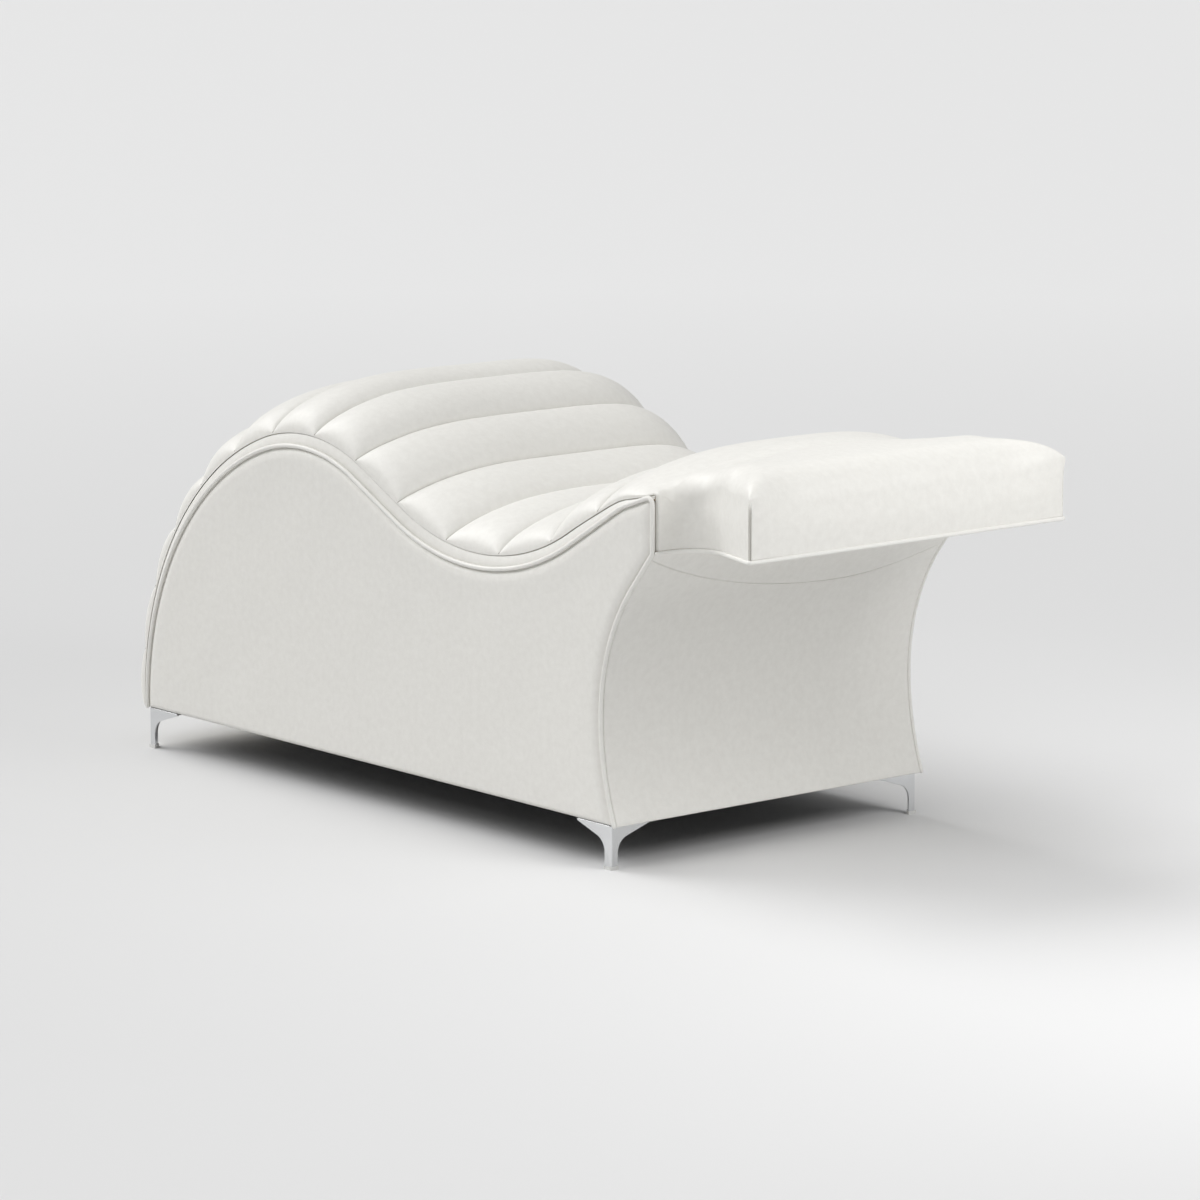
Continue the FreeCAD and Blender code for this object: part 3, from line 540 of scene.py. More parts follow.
def leatherette(name, light, dark, grain_depth=0.00032):
    """Semi-matt coated fabric: pebble grain, fine wrinkles, and a faint mottle."""
    recipe = new_material(name)
    place = recipe.place()
    mottle = recipe.noise(place, scale=75.0, detail=4.0, roughness=0.60)
    pebble = recipe.add("TexVoronoi", "Distance", {"Vector": place, "Scale": 620.0}, feature="SMOOTH_F1")
    wrinkle = recipe.noise(place, scale=160.0, detail=5.0, roughness=0.6)
    softness = recipe.noise(place, scale=22.0, detail=2.0)
    return recipe.finish({
        "Base Color": recipe.ramp(mottle, (0.30, dark), (0.70, light)),
        "Roughness": recipe.rescaled(wrinkle, 0.36, 0.54),
        "Specular IOR Level": 0.42,
    }, (softness, 0.0008, 0.35), (wrinkle, 0.0004, 0.35), (pebble, grain_depth, 0.45))


def wood(name, light, dark, scale, ring_scale):
    """Sawn wood with its grain along the axis of the least scale."""
    recipe = new_material(name)
    stretched = recipe.add("Mapping", "Vector", {"Vector": recipe.place(), "Scale": scale})
    fibre = recipe.noise(stretched, ring_scale, detail=6.0, roughness=0.6)
    return recipe.finish({
        "Base Color": recipe.ramp(fibre, (0.25, dark), (0.75, light)),
        "Roughness": recipe.rescaled(fibre, 0.5, 0.75),
    }, (fibre, 0.0006, 0.4))


def metal(name, colour, low_rough, high_rough, scale):
    """Polished or drawn metal with slight wear in its gloss."""
    recipe = new_material(name)
    place = recipe.place()
    wear = recipe.noise(place, scale, detail=4.0, roughness=0.6)
    worn = tuple(0.96 * part for part in colour)
    fine = recipe.noise(place, scale=900.0, detail=2.0)
    return recipe.finish({
        "Base Color": recipe.ramp(wear, (0.3, worn), (0.7, colour)),
        "Roughness": recipe.rescaled(wear, low_rough, high_rough),
        "Metallic": 1.0,
    }, (fine, 0.00005, 0.12))


def plastic(name, light, dark):
    """Moulded plastic with a fine spark-eroded texture."""
    recipe = new_material(name)
    place = recipe.place()
    cloud = recipe.noise(place, scale=60.0)
    fine = recipe.noise(place, scale=1500.0, detail=2.0)
    return recipe.finish({
        "Base Color": recipe.ramp(cloud, (0.3, dark), (0.7, light)),
        "Roughness": recipe.rescaled(fine, 0.4, 0.55),
    }, (fine, 0.00008, 0.3))


def foam(name):
    """Open-cell foam."""
    recipe = new_material(name)
    cells = recipe.add("TexVoronoi", "Distance", {"Vector": recipe.place(), "Scale": 420.0})
    return recipe.finish({
        "Base Color": recipe.ramp(cells, (0.1, (0.62, 0.55, 0.36)), (0.7, (0.80, 0.74, 0.52))),
        "Roughness": 0.9,
    }, (cells, 0.001, 0.5))


def cloth(name, light, dark, pitch):
    """Spun or woven cloth of a given thread pitch."""
    recipe = new_material(name)
    place = recipe.place()
    weave = {"Vector": place, "Scale": 1.0 / pitch, "Mortar Size": 0.06, "Mortar Smooth": 1.0}
    threads = recipe.add("TexBrick", "Fac", weave)
    cloud = recipe.noise(place, scale=40.0, detail=5.0)
    return recipe.finish({
        "Base Color": recipe.ramp(cloud, (0.3, dark), (0.7, light)),
        "Roughness": 0.85,
    }, (threads, 0.0003, 0.4), (cloud, 0.0004, 0.3))


LEATHER = leatherette("leatherette", (0.808, 0.798, 0.760), (0.764, 0.752, 0.714))
CORD_LEATHER = leatherette("piping_leatherette", (0.820, 0.811, 0.775), (0.790, 0.780, 0.745), 0.00015)
# The thread is real, but its dark grey is painted shade: it darkens the seam valleys between the channels.
THREAD_PAINTED_SHADE = leatherette("thread", (0.50, 0.48, 0.44), (0.44, 0.42, 0.39), 0.0001)
FOAM = foam("foam")
PLYWOOD = wood("plywood", (0.62, 0.45, 0.27), (0.46, 0.31, 0.17), (4.0, 40.0, 40.0), 3.0)
TIMBER = wood("timber", (0.70, 0.52, 0.32), (0.55, 0.38, 0.21), (30.0, 3.0, 30.0), 3.0)
BAR_STEEL = metal("bar_steel", (0.42, 0.42, 0.43), 0.35, 0.55, 30.0)
CHROME = metal("chrome", (0.76, 0.77, 0.78), 0.05, 0.11, 25.0)
SCREW_STEEL = metal("screw_steel", (0.55, 0.54, 0.52), 0.28, 0.42, 60.0)
GLIDE_PLASTIC = plastic("glide_plastic", (0.70, 0.70, 0.68), (0.62, 0.62, 0.60))
DUST_CLOTH = cloth("dust_cloth", (0.035, 0.035, 0.037), (0.02, 0.02, 0.021), 0.0012)


# Side panels, pipings and boxing bands

def dense(span, level, first=0.0, last=1.0):
    """Close points along a span, between two shares of it."""
    count = max(3, int(span.length * (last - first) / OUTLINE_STEP))
    return span.at(np.linspace(first, last, count), level)


def resampled(points, count):
    """The same line with evenly spaced points."""
    steps = np.linalg.norm(np.diff(points, axis=0), axis=1)
    place = np.concatenate([[0.0], np.cumsum(steps)])
    wanted = np.linspace(0.0, place[-1], count)
    return np.stack([np.interp(wanted, place, points[:, axis]) for axis in range(points.shape[1])], axis=1)


def meeting(before, after, level):
    """Where two straight runs meet once both are moved off by a level."""
    start, end = before.at(0.0, level), after.at(0.0, level)
    run = np.array([math.cos(before.heading), math.sin(before.heading)])
    next_run = np.array([math.cos(after.heading), math.sin(after.heading)])
    share = np.linalg.solve(np.stack([run, -next_run], axis=1), end - start)[0]
    return start + share * run


def fillet(before, after, level, radius):
    """The rounded corner between two straight runs that turn clockwise."""
    turn = before.heading - after.heading
    corner = meeting(before, after, level)
    reach = radius * math.tan(turn / 2)
    start = corner - reach * np.array([math.cos(before.heading), math.sin(before.heading)])
    centre = start + radius * np.array([math.sin(before.heading), -math.cos(before.heading)])
    angle = before.heading + math.pi / 2 - np.linspace(0.0, turn, CORNER_POINTS)
    return centre + radius * np.stack([np.cos(angle), np.sin(angle)], axis=1)


def outline_sides(level, bottom, radius):
    """The outline at a level above a floor line: foot rise, wave top, and head with front."""
    foot = WAVE[0]
    middle = foot.start[1] - FOOT_RADIUS * math.cos(foot.heading)
    first = (math.acos((bottom - middle) / (FOOT_RADIUS + level)) - foot.heading) / foot.turn
    rise = dense(foot, level, first)
    toe = FRONT[-1]
    last = (math.pi / 2 - math.acos((toe.start[1] - bottom) / (FRONT_LOWER_RADIUS - level))) / toe.turn
    corner = fillet(WAVE[-1], EDGE, level, radius)
    half = len(corner) // 2
    top = np.concatenate([dense(span, level) for span in WAVE[1:-1]] + [corner[:half + 1]])
    under = fillet(EDGE, FRONT[0], level, radius)
    head = np.concatenate([
        corner[half:], under, dense(FRONT[1], level), dense(FRONT[2], level, 0.0, last),
    ])
    return rise, top, head


def side_panel(side, side_name):
    """A flat padded panel with a soft rolled rim."""
    loops = []
    section = [(0.0, FRAME_OUTSIDE + CLEARANCE), (0.0, HALF_WIDTH - RIM_DEPTH)]
    for angle in np.linspace(0.0, math.pi / 2, RIM_POINTS)[1:]:
        section.append((1 - math.cos(angle), HALF_WIDTH - RIM_DEPTH * (1 - math.sin(angle))))
    for share, y in section:
        level = PAD_EDGE_LEVEL - RIM_WIDTH * share
        bottom = BODY_BOTTOM + CLEARANCE + RIM_UNDER * share
        radius = max(RIM_CORNER, PIPING_CORNER + level)
        rise, top, head = outline_sides(level, bottom, radius)
        rise, head = resampled(rise, PANEL_ROWS), resampled(head, PANEL_ROWS)
        top = resampled(top, PANEL_COLUMNS)
        base = np.linspace(head[-1], rise[0], PANEL_COLUMNS)
        loops.append(lift(np.concatenate([rise[:-1], top[:-1], head[:-1], base[:-1]]), side * y))
    # The flat face fills the rim's last loop: a blend of its four sides.
    u = np.linspace(0.0, 1.0, PANEL_COLUMNS)[None, :, None]
    v = np.linspace(0.0, 1.0, PANEL_ROWS)[:, None, None]
    base, head = base[::-1], head[::-1]
    inside = (1 - v) * base[None] + v * top[None] + (1 - u) * rise[:, None] + u * head[:, None]
    inside -= (1 - u) * (1 - v) * base[0] + u * (1 - v) * base[-1]
    inside -= (1 - u) * v * top[0] + u * v * top[-1]
    face = lift(inside, side * HALF_WIDTH)
    depth = np.minimum(np.minimum(u, 1 - u), np.minimum(v, 1 - v))[..., 0]
    wave = smooth_step(depth * PANEL_WAVE_RISE) * (1 + soft_noise(face, PANEL_WAVE, PANEL_SEED))
    face[..., 1] -= side * PANEL_WAVE_DEPTH * wave
    patches = Patchwork()
    patches.grid(np.stack(loops), wrap=True)
    patches.polygon(loops[0])
    patches.grid(face)
    name, node = "side_panel_" + side_name, "side_pad_" + side_name
    make_piece(name, patches, LEATHER, [node])


def tube_rings(path, across, radius):
    """Rings of a round cord along a path, with domed ends.

    across is a unit vector at right angles to the path."""
    run = np.gradient(path, axis=0)
    run /= np.linalg.norm(run, axis=1, keepdims=True)
    dome = np.linspace(0.0, math.pi / 2, DOME_POINTS)[1:]
    places = [path[0] - run[0] * radius * math.sin(a) for a in dome[::-1]]
    places += list(path) + [path[-1] + run[-1] * radius * math.sin(a) for a in dome]
    runs = [run[0]] * len(dome) + list(run) + [run[-1]] * len(dome)
    narrowing = [max(DOME_TIP, math.cos(a)) for a in dome]
    widths = narrowing[::-1] + [1.0] * len(path) + narrowing
    rings = []
    for place, heading, width in zip(places, runs, widths):
        normal = np.cross(heading, across)
        normal /= np.linalg.norm(normal)
        side = np.cross(normal, heading)
        angle = np.linspace(0.0, 2 * math.pi, CORD_SIDES, endpoint=False)[:, None]
        rings.append(place + radius * width * (np.cos(angle) * normal + np.sin(angle) * side))
    return np.stack(rings)


def cord(name, path, across, nodes):
    """A piping cord along a path."""
    patches = Patchwork()
    patches.tube(tube_rings(path, np.array(across), PIPING_RADIUS))
    make_piece(name, patches, CORD_LEATHER, nodes)


def side_piping(side, side_name):
    """The cord along a side panel's edge."""
    bottom = BODY_BOTTOM + PIPING_RADIUS / 2
    line = np.concatenate(outline_sides(PIPING_LEVEL, bottom, PIPING_CORNER))
    path = resampled(lift(line, side * PIPING_Y), CORD_POINTS)
    cord("cord_" + side_name, path, (0.0, 1.0, 0.0), ["side_piping_" + side_name])


def border_rise(distance):
    """Height of the border seam above the piping line."""
    upper = BAND_RISE * (1 - BAND_TAPER * smooth_step((distance - RISE_PLACE) / BAND_TAPER_RUN))
    return BAND_END + (upper - BAND_END) * smooth_step((QUILT_LENGTH - distance) / BAND_END_RUN)


def boxing_band(side, side_name):
    """The narrow upright strip between the piping and the sewn top."""
    share = np.linspace(0.0, 1.0, BAND_FACE_POINTS)
    lean = BAND_LEAN * share - BAND_SWELL * np.sin(math.pi * share) + BAND_INSET
    section = [  # level, share of the border's height, place across the bed
        (BAND_BED, 0.0, BAND_INSIDE),
        (BAND_BED, 0.0, FRAME_OUTSIDE + BAND_LAP),
        (BAND_FOOT, 0.0, FRAME_OUTSIDE + BAND_LAP_FOOT),
        (BAND_FOOT, 0.0, BAND_OUTSIDE - BAND_FOOT_INSET),
        *zip(-BAND_TOP_DROP * share, share, BAND_OUTSIDE - lean),
        *((-drop, 1.0, CHANNEL_HALF - inset) for drop, inset in BAND_TURN),
        (-BAND_TURN_END, 1.0, BAND_INSIDE),
    ]
    level, part, width = np.array(section).T
    distance = np.linspace(0.0, 1.0, BAND_ROWS)[:, None] * head_distance(level + part * BAND_END)
    level = level + part * border_rise(distance)
    patches = Patchwork()
    patches.tube(lift(along(WAVE, distance, level, QUILT_LEVEL), side * width))
    name, node = "band_" + side_name, "boxing_band_" + side_name
    make_piece(name, patches, LEATHER, [node])


# Sewn top

def quilt_level(distance, y, extra):
    """Height of the sewn top above the piping line, with extra for its stuffing."""
    climb = np.clip(distance / CROWN_RUN, 0.0, 1.0)
    fall = np.clip((distance - HUMP_PLACE) / CROWN_FALL, 0.0, 1.0)
    neck = np.clip(1 - (QUILT_LENGTH - distance) / NECK_RUN, 0.0, 1.0)
    crown = FOOT_CROWN + (HUMP_CROWN - FOOT_CROWN) * climb + (SEAT_CROWN - HUMP_CROWN) * fall
    crown = crown + (HEAD_CROWN - SEAT_CROWN) * neck
    power = np.where(y < 0, CROWN_POWER_LEFT, CROWN_POWER_RIGHT)
    power = power + (CROWN_POWER_NECK - power) * neck
    border = border_rise(distance)
    rise = (crown + BAND_RISE - border) * (1 - np.abs(y / CHANNEL_HALF) ** power)
    return border + SEAM_DEPTH + CLEARANCE + rise + extra


def quilt(distance, y, extra):
    """Points of the sewn top."""
    return lift(along(WAVE, distance, quilt_level(distance, y, extra), QUILT_LEVEL), y)


def seams():
    """Distances of the foot end and of each seam along the sewn top."""
    count = round(NECK_PLACE / CHANNEL_PITCH)
    return [0.0] + [NECK_PLACE - CHANNEL_PITCH * step for step in reversed(range(count))]


def fullness(across):
    """How far a channel is stuffed, by shares across the bed."""
    return np.sqrt(np.clip(1 - np.abs(across) ** FULLNESS_POWER, 0.0, None))


def swell(run, across, bulge):
    """Height of a stuffed channel over its bed, by shares along and across it."""
    round_over = np.clip(1 - (2 * run - 1) ** 2, 0.0, None) ** BULGE_ROUND
    full = fullness(across)
    return (END_BULGE + (bulge - END_BULGE) * full) * round_over


def across_shares(count):
    """Shares across the bed from -1 to 1, close together at the borders."""
    angle = np.linspace(-math.pi / 2, math.pi / 2, count)
    return np.sin(angle)


def channel(index, start, end):
    """One stuffed channel between two seams."""
    run = (1 - np.cos(np.linspace(0.0, math.pi, CHANNEL_COLUMNS))) / 2
    across = across_shares(CHANNEL_ROWS)
    start, end = start + SEAM_GAP / 2, end - SEAM_GAP / 2
    distance = np.broadcast_to(start + (end - start) * run, (len(across), len(run)))
    y = np.broadcast_to(across[:, None] * CHANNEL_HALF, distance.shape)
    height = swell(run[None, :], across[:, None], CHANNEL_BULGE)
    flat = quilt(distance, y, 0.0)
    ease = 1 + EASE * soft_noise(flat, EASE_WAVE, EASE_SEED + index)
    near_seam = np.exp(-np.minimum(run, 1 - run) * (end - start) / PUCKER_REACH)[None, :]
    ripple = soft_noise(flat, PUCKER_WAVE, PUCKER_SEED + index)
    pucker = PUCKER * near_seam * ripple * np.minimum(1.0, height / PUCKER_FULL)
    outer = quilt(distance, y, height * ease + pucker)
    inner = quilt(distance, y, -SEAM_DEPTH)
    patches = Patchwork()
    patches.slab(outer, inner)
    name, node = "channel_%02d" % index, "channel_pad_%02d" % index
    make_piece(name, patches, LEATHER, [node])


def seam_threads_painted_shade():
    """The sewing thread that shows along the valleys between the channels; its dark grey is painted shade
    of the valleys.
    """
    patches = Patchwork()
    y = across_shares(THREAD_POINTS) * CHANNEL_HALF
    for place in seams()[1:]:
        path = quilt(np.full(y.shape, place), y, SEAM_THREAD)
        patches.tube(tube_rings(path, np.array([1.0, 0.0, 0.0]), SEAM_THREAD))
    # Dark grey thread: painted shade of the seam valleys.
    make_piece("seam_threads_painted_shade", patches, THREAD_PAINTED_SHADE)


def foam_core():
    """The foam bed between the deck and the channels."""
    distance = np.linspace(0.0, QUILT_LENGTH, FOAM_COLUMNS)[None, :]
    y = (across_shares(FOAM_ROWS) * FOAM_HALF)[:, None]
    distance, y = np.broadcast_arrays(distance, y)
    outer = quilt(distance, y, -SEAM_DEPTH - CLEARANCE)
    inner = lift(along(WAVE, distance, CLEARANCE, QUILT_LEVEL), y)
    for grid in (outer, inner):
        grid[..., 0] = np.minimum(grid[..., 0], HEAD_STOP)
    outer[..., 2] -= edge_drop(outer[..., 0], outer[..., 1], headrest_plan())
    patches = Patchwork()
    patches.slab(outer, inner)
    make_piece("foam_core", patches, FOAM, ["seat_foam"])


# Neck and headrest

def underside(x):
    """Height of the headrest's lower edge."""
    return EDGE_FOOT_Z + HEADREST_SLOPE * (x - HEAD_X)


def headrest_side(start_x, start_y, face_x, front_x, front_y):
    """One side of the headrest in plan, from the body's end face to the front corner."""
    bend = np.linspace(0.0, math.pi / 2, CHEEK_POINTS)
    cheek_x = face_x - CHEEK_ROUND * (1 - np.sin(bend))
    cheek_y = start_y - CHEEK_ROUND * (1 - np.cos(bend))
    centre_x = face_x + NOTCH_RADIUS
    turn = np.linspace(math.pi, 1.5 * math.pi, ROOT_POINTS)
    root_x = centre_x + NOTCH_RADIUS * np.cos(turn)
    root_y = NOTCH_Y + NOTCH_RADIUS * np.sin(turn)
    centre_y = NOTCH_Y - NOTCH_RADIUS + NOTCH_SWEEP
    run, rise = front_x - centre_x, front_y - centre_y
    flare = math.atan2(rise, run) + math.asin(NOTCH_SWEEP / math.hypot(run, rise))
    turn = np.linspace(0.0, flare, SWEEP_POINTS)[1:]
    sweep_x = centre_x + NOTCH_SWEEP * np.sin(turn)
    sweep_y = centre_y - NOTCH_SWEEP * np.cos(turn)
    return np.stack([
        np.concatenate([[start_x], cheek_x, root_x, sweep_x, [front_x]]),
        np.concatenate([[start_y], cheek_y, root_y, sweep_y, [front_y]]),
    ], axis=1)


def headrest_plan():
    """The cover's outline on one side, in plan."""
    return headrest_side(HEAD_STOP, CHANNEL_HALF, NOTCH_FACE, HEADREST_FRONT, HALF_WIDTH)


def line_distance(x, y, line):
    """Shortest distance from points to a line of straight runs."""
    place = np.stack([x, y], axis=-1)[..., None, :]
    start, run = line[:-1], np.diff(line, axis=0)
    share = np.clip(((place - start) * run).sum(-1) / (run * run).sum(-1), 0.0, 1.0)
    gap = place - (start + share[..., None] * run)
    return np.sqrt((gap * gap).sum(-1)).min(-1)


def slab_share(x):
    """How far the headrest's section has changed from the neck's into the slab's."""
    return smooth_step((x - HEAD_STOP) / SLAB_BLEND)


def headrest_height(x, y):
    """Height of the headrest's top before its edge is rounded."""
    width = np.clip(y, -CHANNEL_HALF, CHANNEL_HALF)
    level = quilt_level(QUILT_LENGTH, width, 0.0)
    neck_z = along(WAVE, head_distance(level), level, QUILT_LEVEL)[..., 1]
    slab_z = SLAB_TOP + SLAB_CROWN * (1 - (y / HALF_WIDTH) ** 2)
    fold = FOLD_DEPTH * np.exp(-((x - HEAD_X - FOLD_PLACE) / FOLD_WIDTH) ** 2)
    fold = fold * (1 - (y / HALF_WIDTH) ** FOLD_POWER)
    return neck_z + (slab_z - neck_z) * slab_share(x) - fold


def front_fullness(x, y):
    """Share of the front's fuller rounding: none at its corners and further back."""
    from_corner = smooth_step((HALF_WIDTH - np.abs(y)) / FRONT_BLEND)
    return from_corner * smooth_step(2 + 2 * (x - HEADREST_FRONT) / FRONT_DEPTH)


def edge_drop(x, y, line):
    """How far the soft edge of the neck and headrest falls, by the distance from its outline in plan."""
    full = smooth_step(np.hypot(x - HEAD_STOP, CHANNEL_HALF - np.abs(y)) / CHEEK_BLEND)
    front = front_fullness(x, y)
    height = CHEEK_EDGE + (TOP_ROUND - CHEEK_EDGE) * full + (FRONT_ROUND - TOP_ROUND) * front
    from_side = 1 - np.clip(line_distance(x, np.abs(y), line) / (height * SIDE_SPREAD), 0.0, 1.0)
    from_front = 1 - np.clip((HEADREST_FRONT - x) / (height * FRONT_SPREAD), 0.0, 1.0)
    level = 1 - (1 - from_side ** CORNER_POWER) * (1 - from_front ** CORNER_POWER)
    bend = 1 - FRONT_OPEN * front
    over = bend * level ** (1 / CORNER_POWER)
    return height * (1 - np.sqrt(1 - over ** 2)) / (1 - np.sqrt(1 - bend ** 2))


def side_shares():
    """Shares across the headrest from -1 to 1, closest together at its sides."""
    even = np.linspace(-1, 1, HEADREST_COLUMNS)
    return np.sign(even) * (1 - (1 - np.abs(even)) ** SIDE_CLOSE)


def neck_grids(across, line):
    """The neck's face and the bed under it, with the soft edge taken off both."""
    run = (1 - np.cos(np.linspace(0.0, math.pi, NECK_ROWS))) / 2
    y = np.broadcast_to(across * CHANNEL_HALF, (len(run), len(across)))
    start = NECK_PLACE + SEAM_GAP / 2
    stop = head_distance(quilt_level(QUILT_LENGTH, y, 0.0))
    distance = start + (stop - start) * run[:, None]
    rising = np.clip(1 - (1 - np.minimum(run * NECK_RISE, 1.0)) ** 2, 0.0, None) ** BULGE_ROUND
    settle = 1 - smooth_step((run - NECK_SETTLE) / (1 - NECK_SETTLE))
    bulge = END_BULGE + (NECK_BULGE - END_BULGE) * fullness(across)
    face = quilt(distance, y, bulge[None, :] * (rising * settle)[:, None])
    bed = quilt(distance, y, -SEAM_DEPTH)
    for grid in (face, bed):
        grid[-1, :, 0] = HEAD_STOP
    drop = edge_drop(face[..., 0], face[..., 1], line)
    for grid in (face, bed):
        grid[..., 2] -= drop
    return face, bed


def slab_grid(across, line):
    """The headrest's top, in rows from its outline on one side to the other."""
    steps = np.linalg.norm(np.diff(line, axis=0), axis=1)
    place = np.concatenate([[0.0], np.cumsum(steps)])
    even = np.linspace(0.0, EVEN_SHARE, EVEN_ROWS)[:-1]
    closing = 1 - (1 - np.linspace(0, 1, CLOSING_ROWS)) ** FRONT_CLOSE
    wanted = np.concatenate([even, EVEN_SHARE + (1 - EVEN_SHARE) * closing]) * place[-1]
    edge_x = np.interp(wanted, place, line[:, 0])
    edge_y = np.interp(wanted, place, line[:, 1])
    first = int(np.argmax(edge_x >= HEADREST_FRONT - SQUARE_RUN))
    middle_x = edge_x.copy()
    middle_x[:first] = HEAD_STOP + (edge_x[first] - HEAD_STOP) * np.linspace(0, 1, first, endpoint=False)
    x = edge_x[:, None] + (middle_x - edge_x)[:, None] * (1 - np.abs(across)) ** ROW_SWEEP
    y = edge_y[:, None] * across
    slab = np.stack([x, y, headrest_height(x, y) - edge_drop(x, y, line)], axis=-1)
    set_back = np.clip(1 + 2 * (x - HEADREST_FRONT) / FRONT_DEPTH, 0, 1)
    slab[..., 0] -= FRONT_SET * front_fullness(x, y) * set_back
    return slab


def wall_foot(x):
    """Height at which the headrest's wall stands on its cord."""
    return underside(x) + PIPING_RADIUS + CLEARANCE


def wall_grid(border, corners, shares):
    """The headrest's upright sides, with a crease at each front corner."""
    plan = border[:, :2]
    ahead = np.gradient(plan, axis=0)
    ahead /= np.linalg.norm(ahead, axis=1, keepdims=True) + NEARLY_ZERO
    outward = np.stack([ahead[:, 1], -ahead[:, 0]], axis=1)
    foot = wall_foot(border[:, 0])
    from_cheek = np.minimum(np.hypot(*(plan - plan[0]).T), np.hypot(*(plan - plan[-1]).T))
    from_corner = np.hypot(HEADREST_FRONT - plan[:, 0], HALF_WIDTH - np.abs(plan[:, 1]))
    grip = smooth_step(from_cheek / CHEEK_GRIP) * smooth_step(from_corner / CORNER_GRIP)
    lean = FRONT_SET * front_fullness(plan[:, 0], plan[:, 1])
    wall = np.repeat(border[None], len(shares), axis=0)
    for row, share in zip(wall, shares):
        row[:, 2] = border[:, 2] + (foot - border[:, 2]) * share
        row[:, :2] += outward * (WALL_SWELL * math.sin(math.pi * share) ** 2 * grip)[:, None]
        row[:, 0] += lean * (1 - (1 - share) ** 2)
        depth = CREASE_DEPTH * smooth_step((share - CREASE_TOP) / CREASE_RUN)
        for corner in corners:
            inward = np.array([CREASE_HEADING[0], np.sign(corner[1]) * CREASE_HEADING[1]])
            reach = np.hypot(*(plan - corner[:2]).T) / CREASE_WIDTH
            near = np.exp(-reach ** 2) - CREASE_WELT * np.exp(-(WELT_NARROW * reach) ** 2)
            row[:, :2] += near[:, None] * depth * inward
    return wall


def headrest():
    """The smooth neck and the thick headrest, in one cover."""
    across = side_shares()
    line = headrest_plan()
    neck, bed = neck_grids(across, line)
    slab = slab_grid(across, line)
    slab[0] = neck[-1]
    border = np.concatenate([slab[:-1, 0], slab[-1], slab[-2::-1, -1]])
    shares = np.linspace(0.0, 1.0, WALL_ROWS)
    wall = wall_grid(border, (slab[-1, 0], slab[-1, -1]), shares)
    back_foot = bed[-1].copy()
    back_foot[:, 2] = wall_foot(border[0, 0])
    back = bed[-1] + (back_foot - bed[-1]) * shares[:, None, None]
    back[:, 0], back[:, -1] = wall[:, 0], wall[:, -1]
    bed[-1, 0], bed[-1, -1] = neck[-1, 0], neck[-1, -1]

    patches = Patchwork()
    for grid in (neck, slab, wall, back, bed):
        patches.grid(grid)
    for edge in (np.s_[0], np.s_[:, 0], np.s_[:, -1]):
        patches.grid(np.stack([neck[edge], bed[edge]]))
    patches.polygon(np.concatenate([wall[-1], back[-1, ::-1][1:-1]]))
    nodes = ["neck_pad", "headrest_cushion"]
    make_piece("headrest_cover", patches, LEATHER, nodes)


def headrest_piping():
    """The cord along the headrest's lower edge."""
    plan = headrest_side(NOTCH_FACE, BAND_OUTSIDE, NOTCH_FACE, HEADREST_FRONT, HALF_WIDTH)
    side = plan[1 + CHEEK_POINTS:]
    side = np.concatenate([[[side[0][0], BAND_OUTSIDE]], side])
    line = resampled(np.concatenate([side * [1, -1], side[::-1]]), HEADREST_CORD_POINTS)
    weights = np.hanning(CORD_EASE)
    weights /= weights.sum()
    spare = CORD_EASE // 2
    padded = np.pad(line, ((spare, spare), (0, 0)), mode="edge")
    x, y = (np.convolve(padded[:, axis], weights, mode="valid") for axis in range(2))
    path = np.column_stack([x, y, underside(x)])
    cord("headrest_cord", path, (0.0, 0.0, 1.0), ["headrest_piping"])


def headrest_liner():
    """The cover's flat underside between the cords."""
    low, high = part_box("headrest_liner")
    line = headrest_side(low.x, BAND_OUTSIDE - LINER_EDGE, low.x, high.x, high.y)[1:]
    places = resampled(line, LINER_ROWS)
    across = np.linspace(-1.0, 1.0, LINER_COLUMNS)
    x = np.repeat(places[:, :1], len(across), axis=1)
    middle = np.linspace(low.x, high.x, len(places))[:, None]
    x = x + (middle - x) * (1 - np.abs(across))
    y = places[:, 1:] * across * LINER_FIT
    z = underside(x)
    patches = Patchwork()
    patches.slab(np.stack([x, y, z - LINER_HALF], axis=-1), np.stack([x, y, z + LINER_HALF], axis=-1))
    make_piece("headrest_lining", patches, LEATHER, ["headrest_liner"])


# Front

def rounded_edge(distance, width):
    """From 0 at an edge to 1 at a width from it, along a quarter of a circle."""
    return np.sqrt(1 - np.clip(1 - distance / width, 0, 1) ** 2)


def front_face(name, node, top, bottom):
    """A padded panel on the hollow front between two lines, given as distances down it."""
    y = across_shares(FRONT_COLUMNS) * FRONT_HALF
    share = (1 - np.cos(np.linspace(0.0, math.pi, FRONT_ROWS)))[:, None] / 2
    distance = top + (bottom - top) * share
    roll = rounded_edge(FRONT_HALF - np.abs(y), FRONT_EDGE_ROLL)
    lap = rounded_edge(np.minimum(distance - top, bottom - distance), FRONT_LAP)
    level = FRONT_FACE_LEVEL - FRONT_ROLL_DEPTH * (1 - roll) - FRONT_LAP_DEPTH * (1 - lap)
    y = np.broadcast_to(y, distance.shape)
    outer = lift(along(FRONT, distance, level, 0.0), y)
    inner = lift(along(FRONT, distance, FRONT_BACK_LEVEL, 0.0), y)
    patches = Patchwork()
    patches.slab(outer, inner)
    make_piece(name, patches, LEATHER, [node])


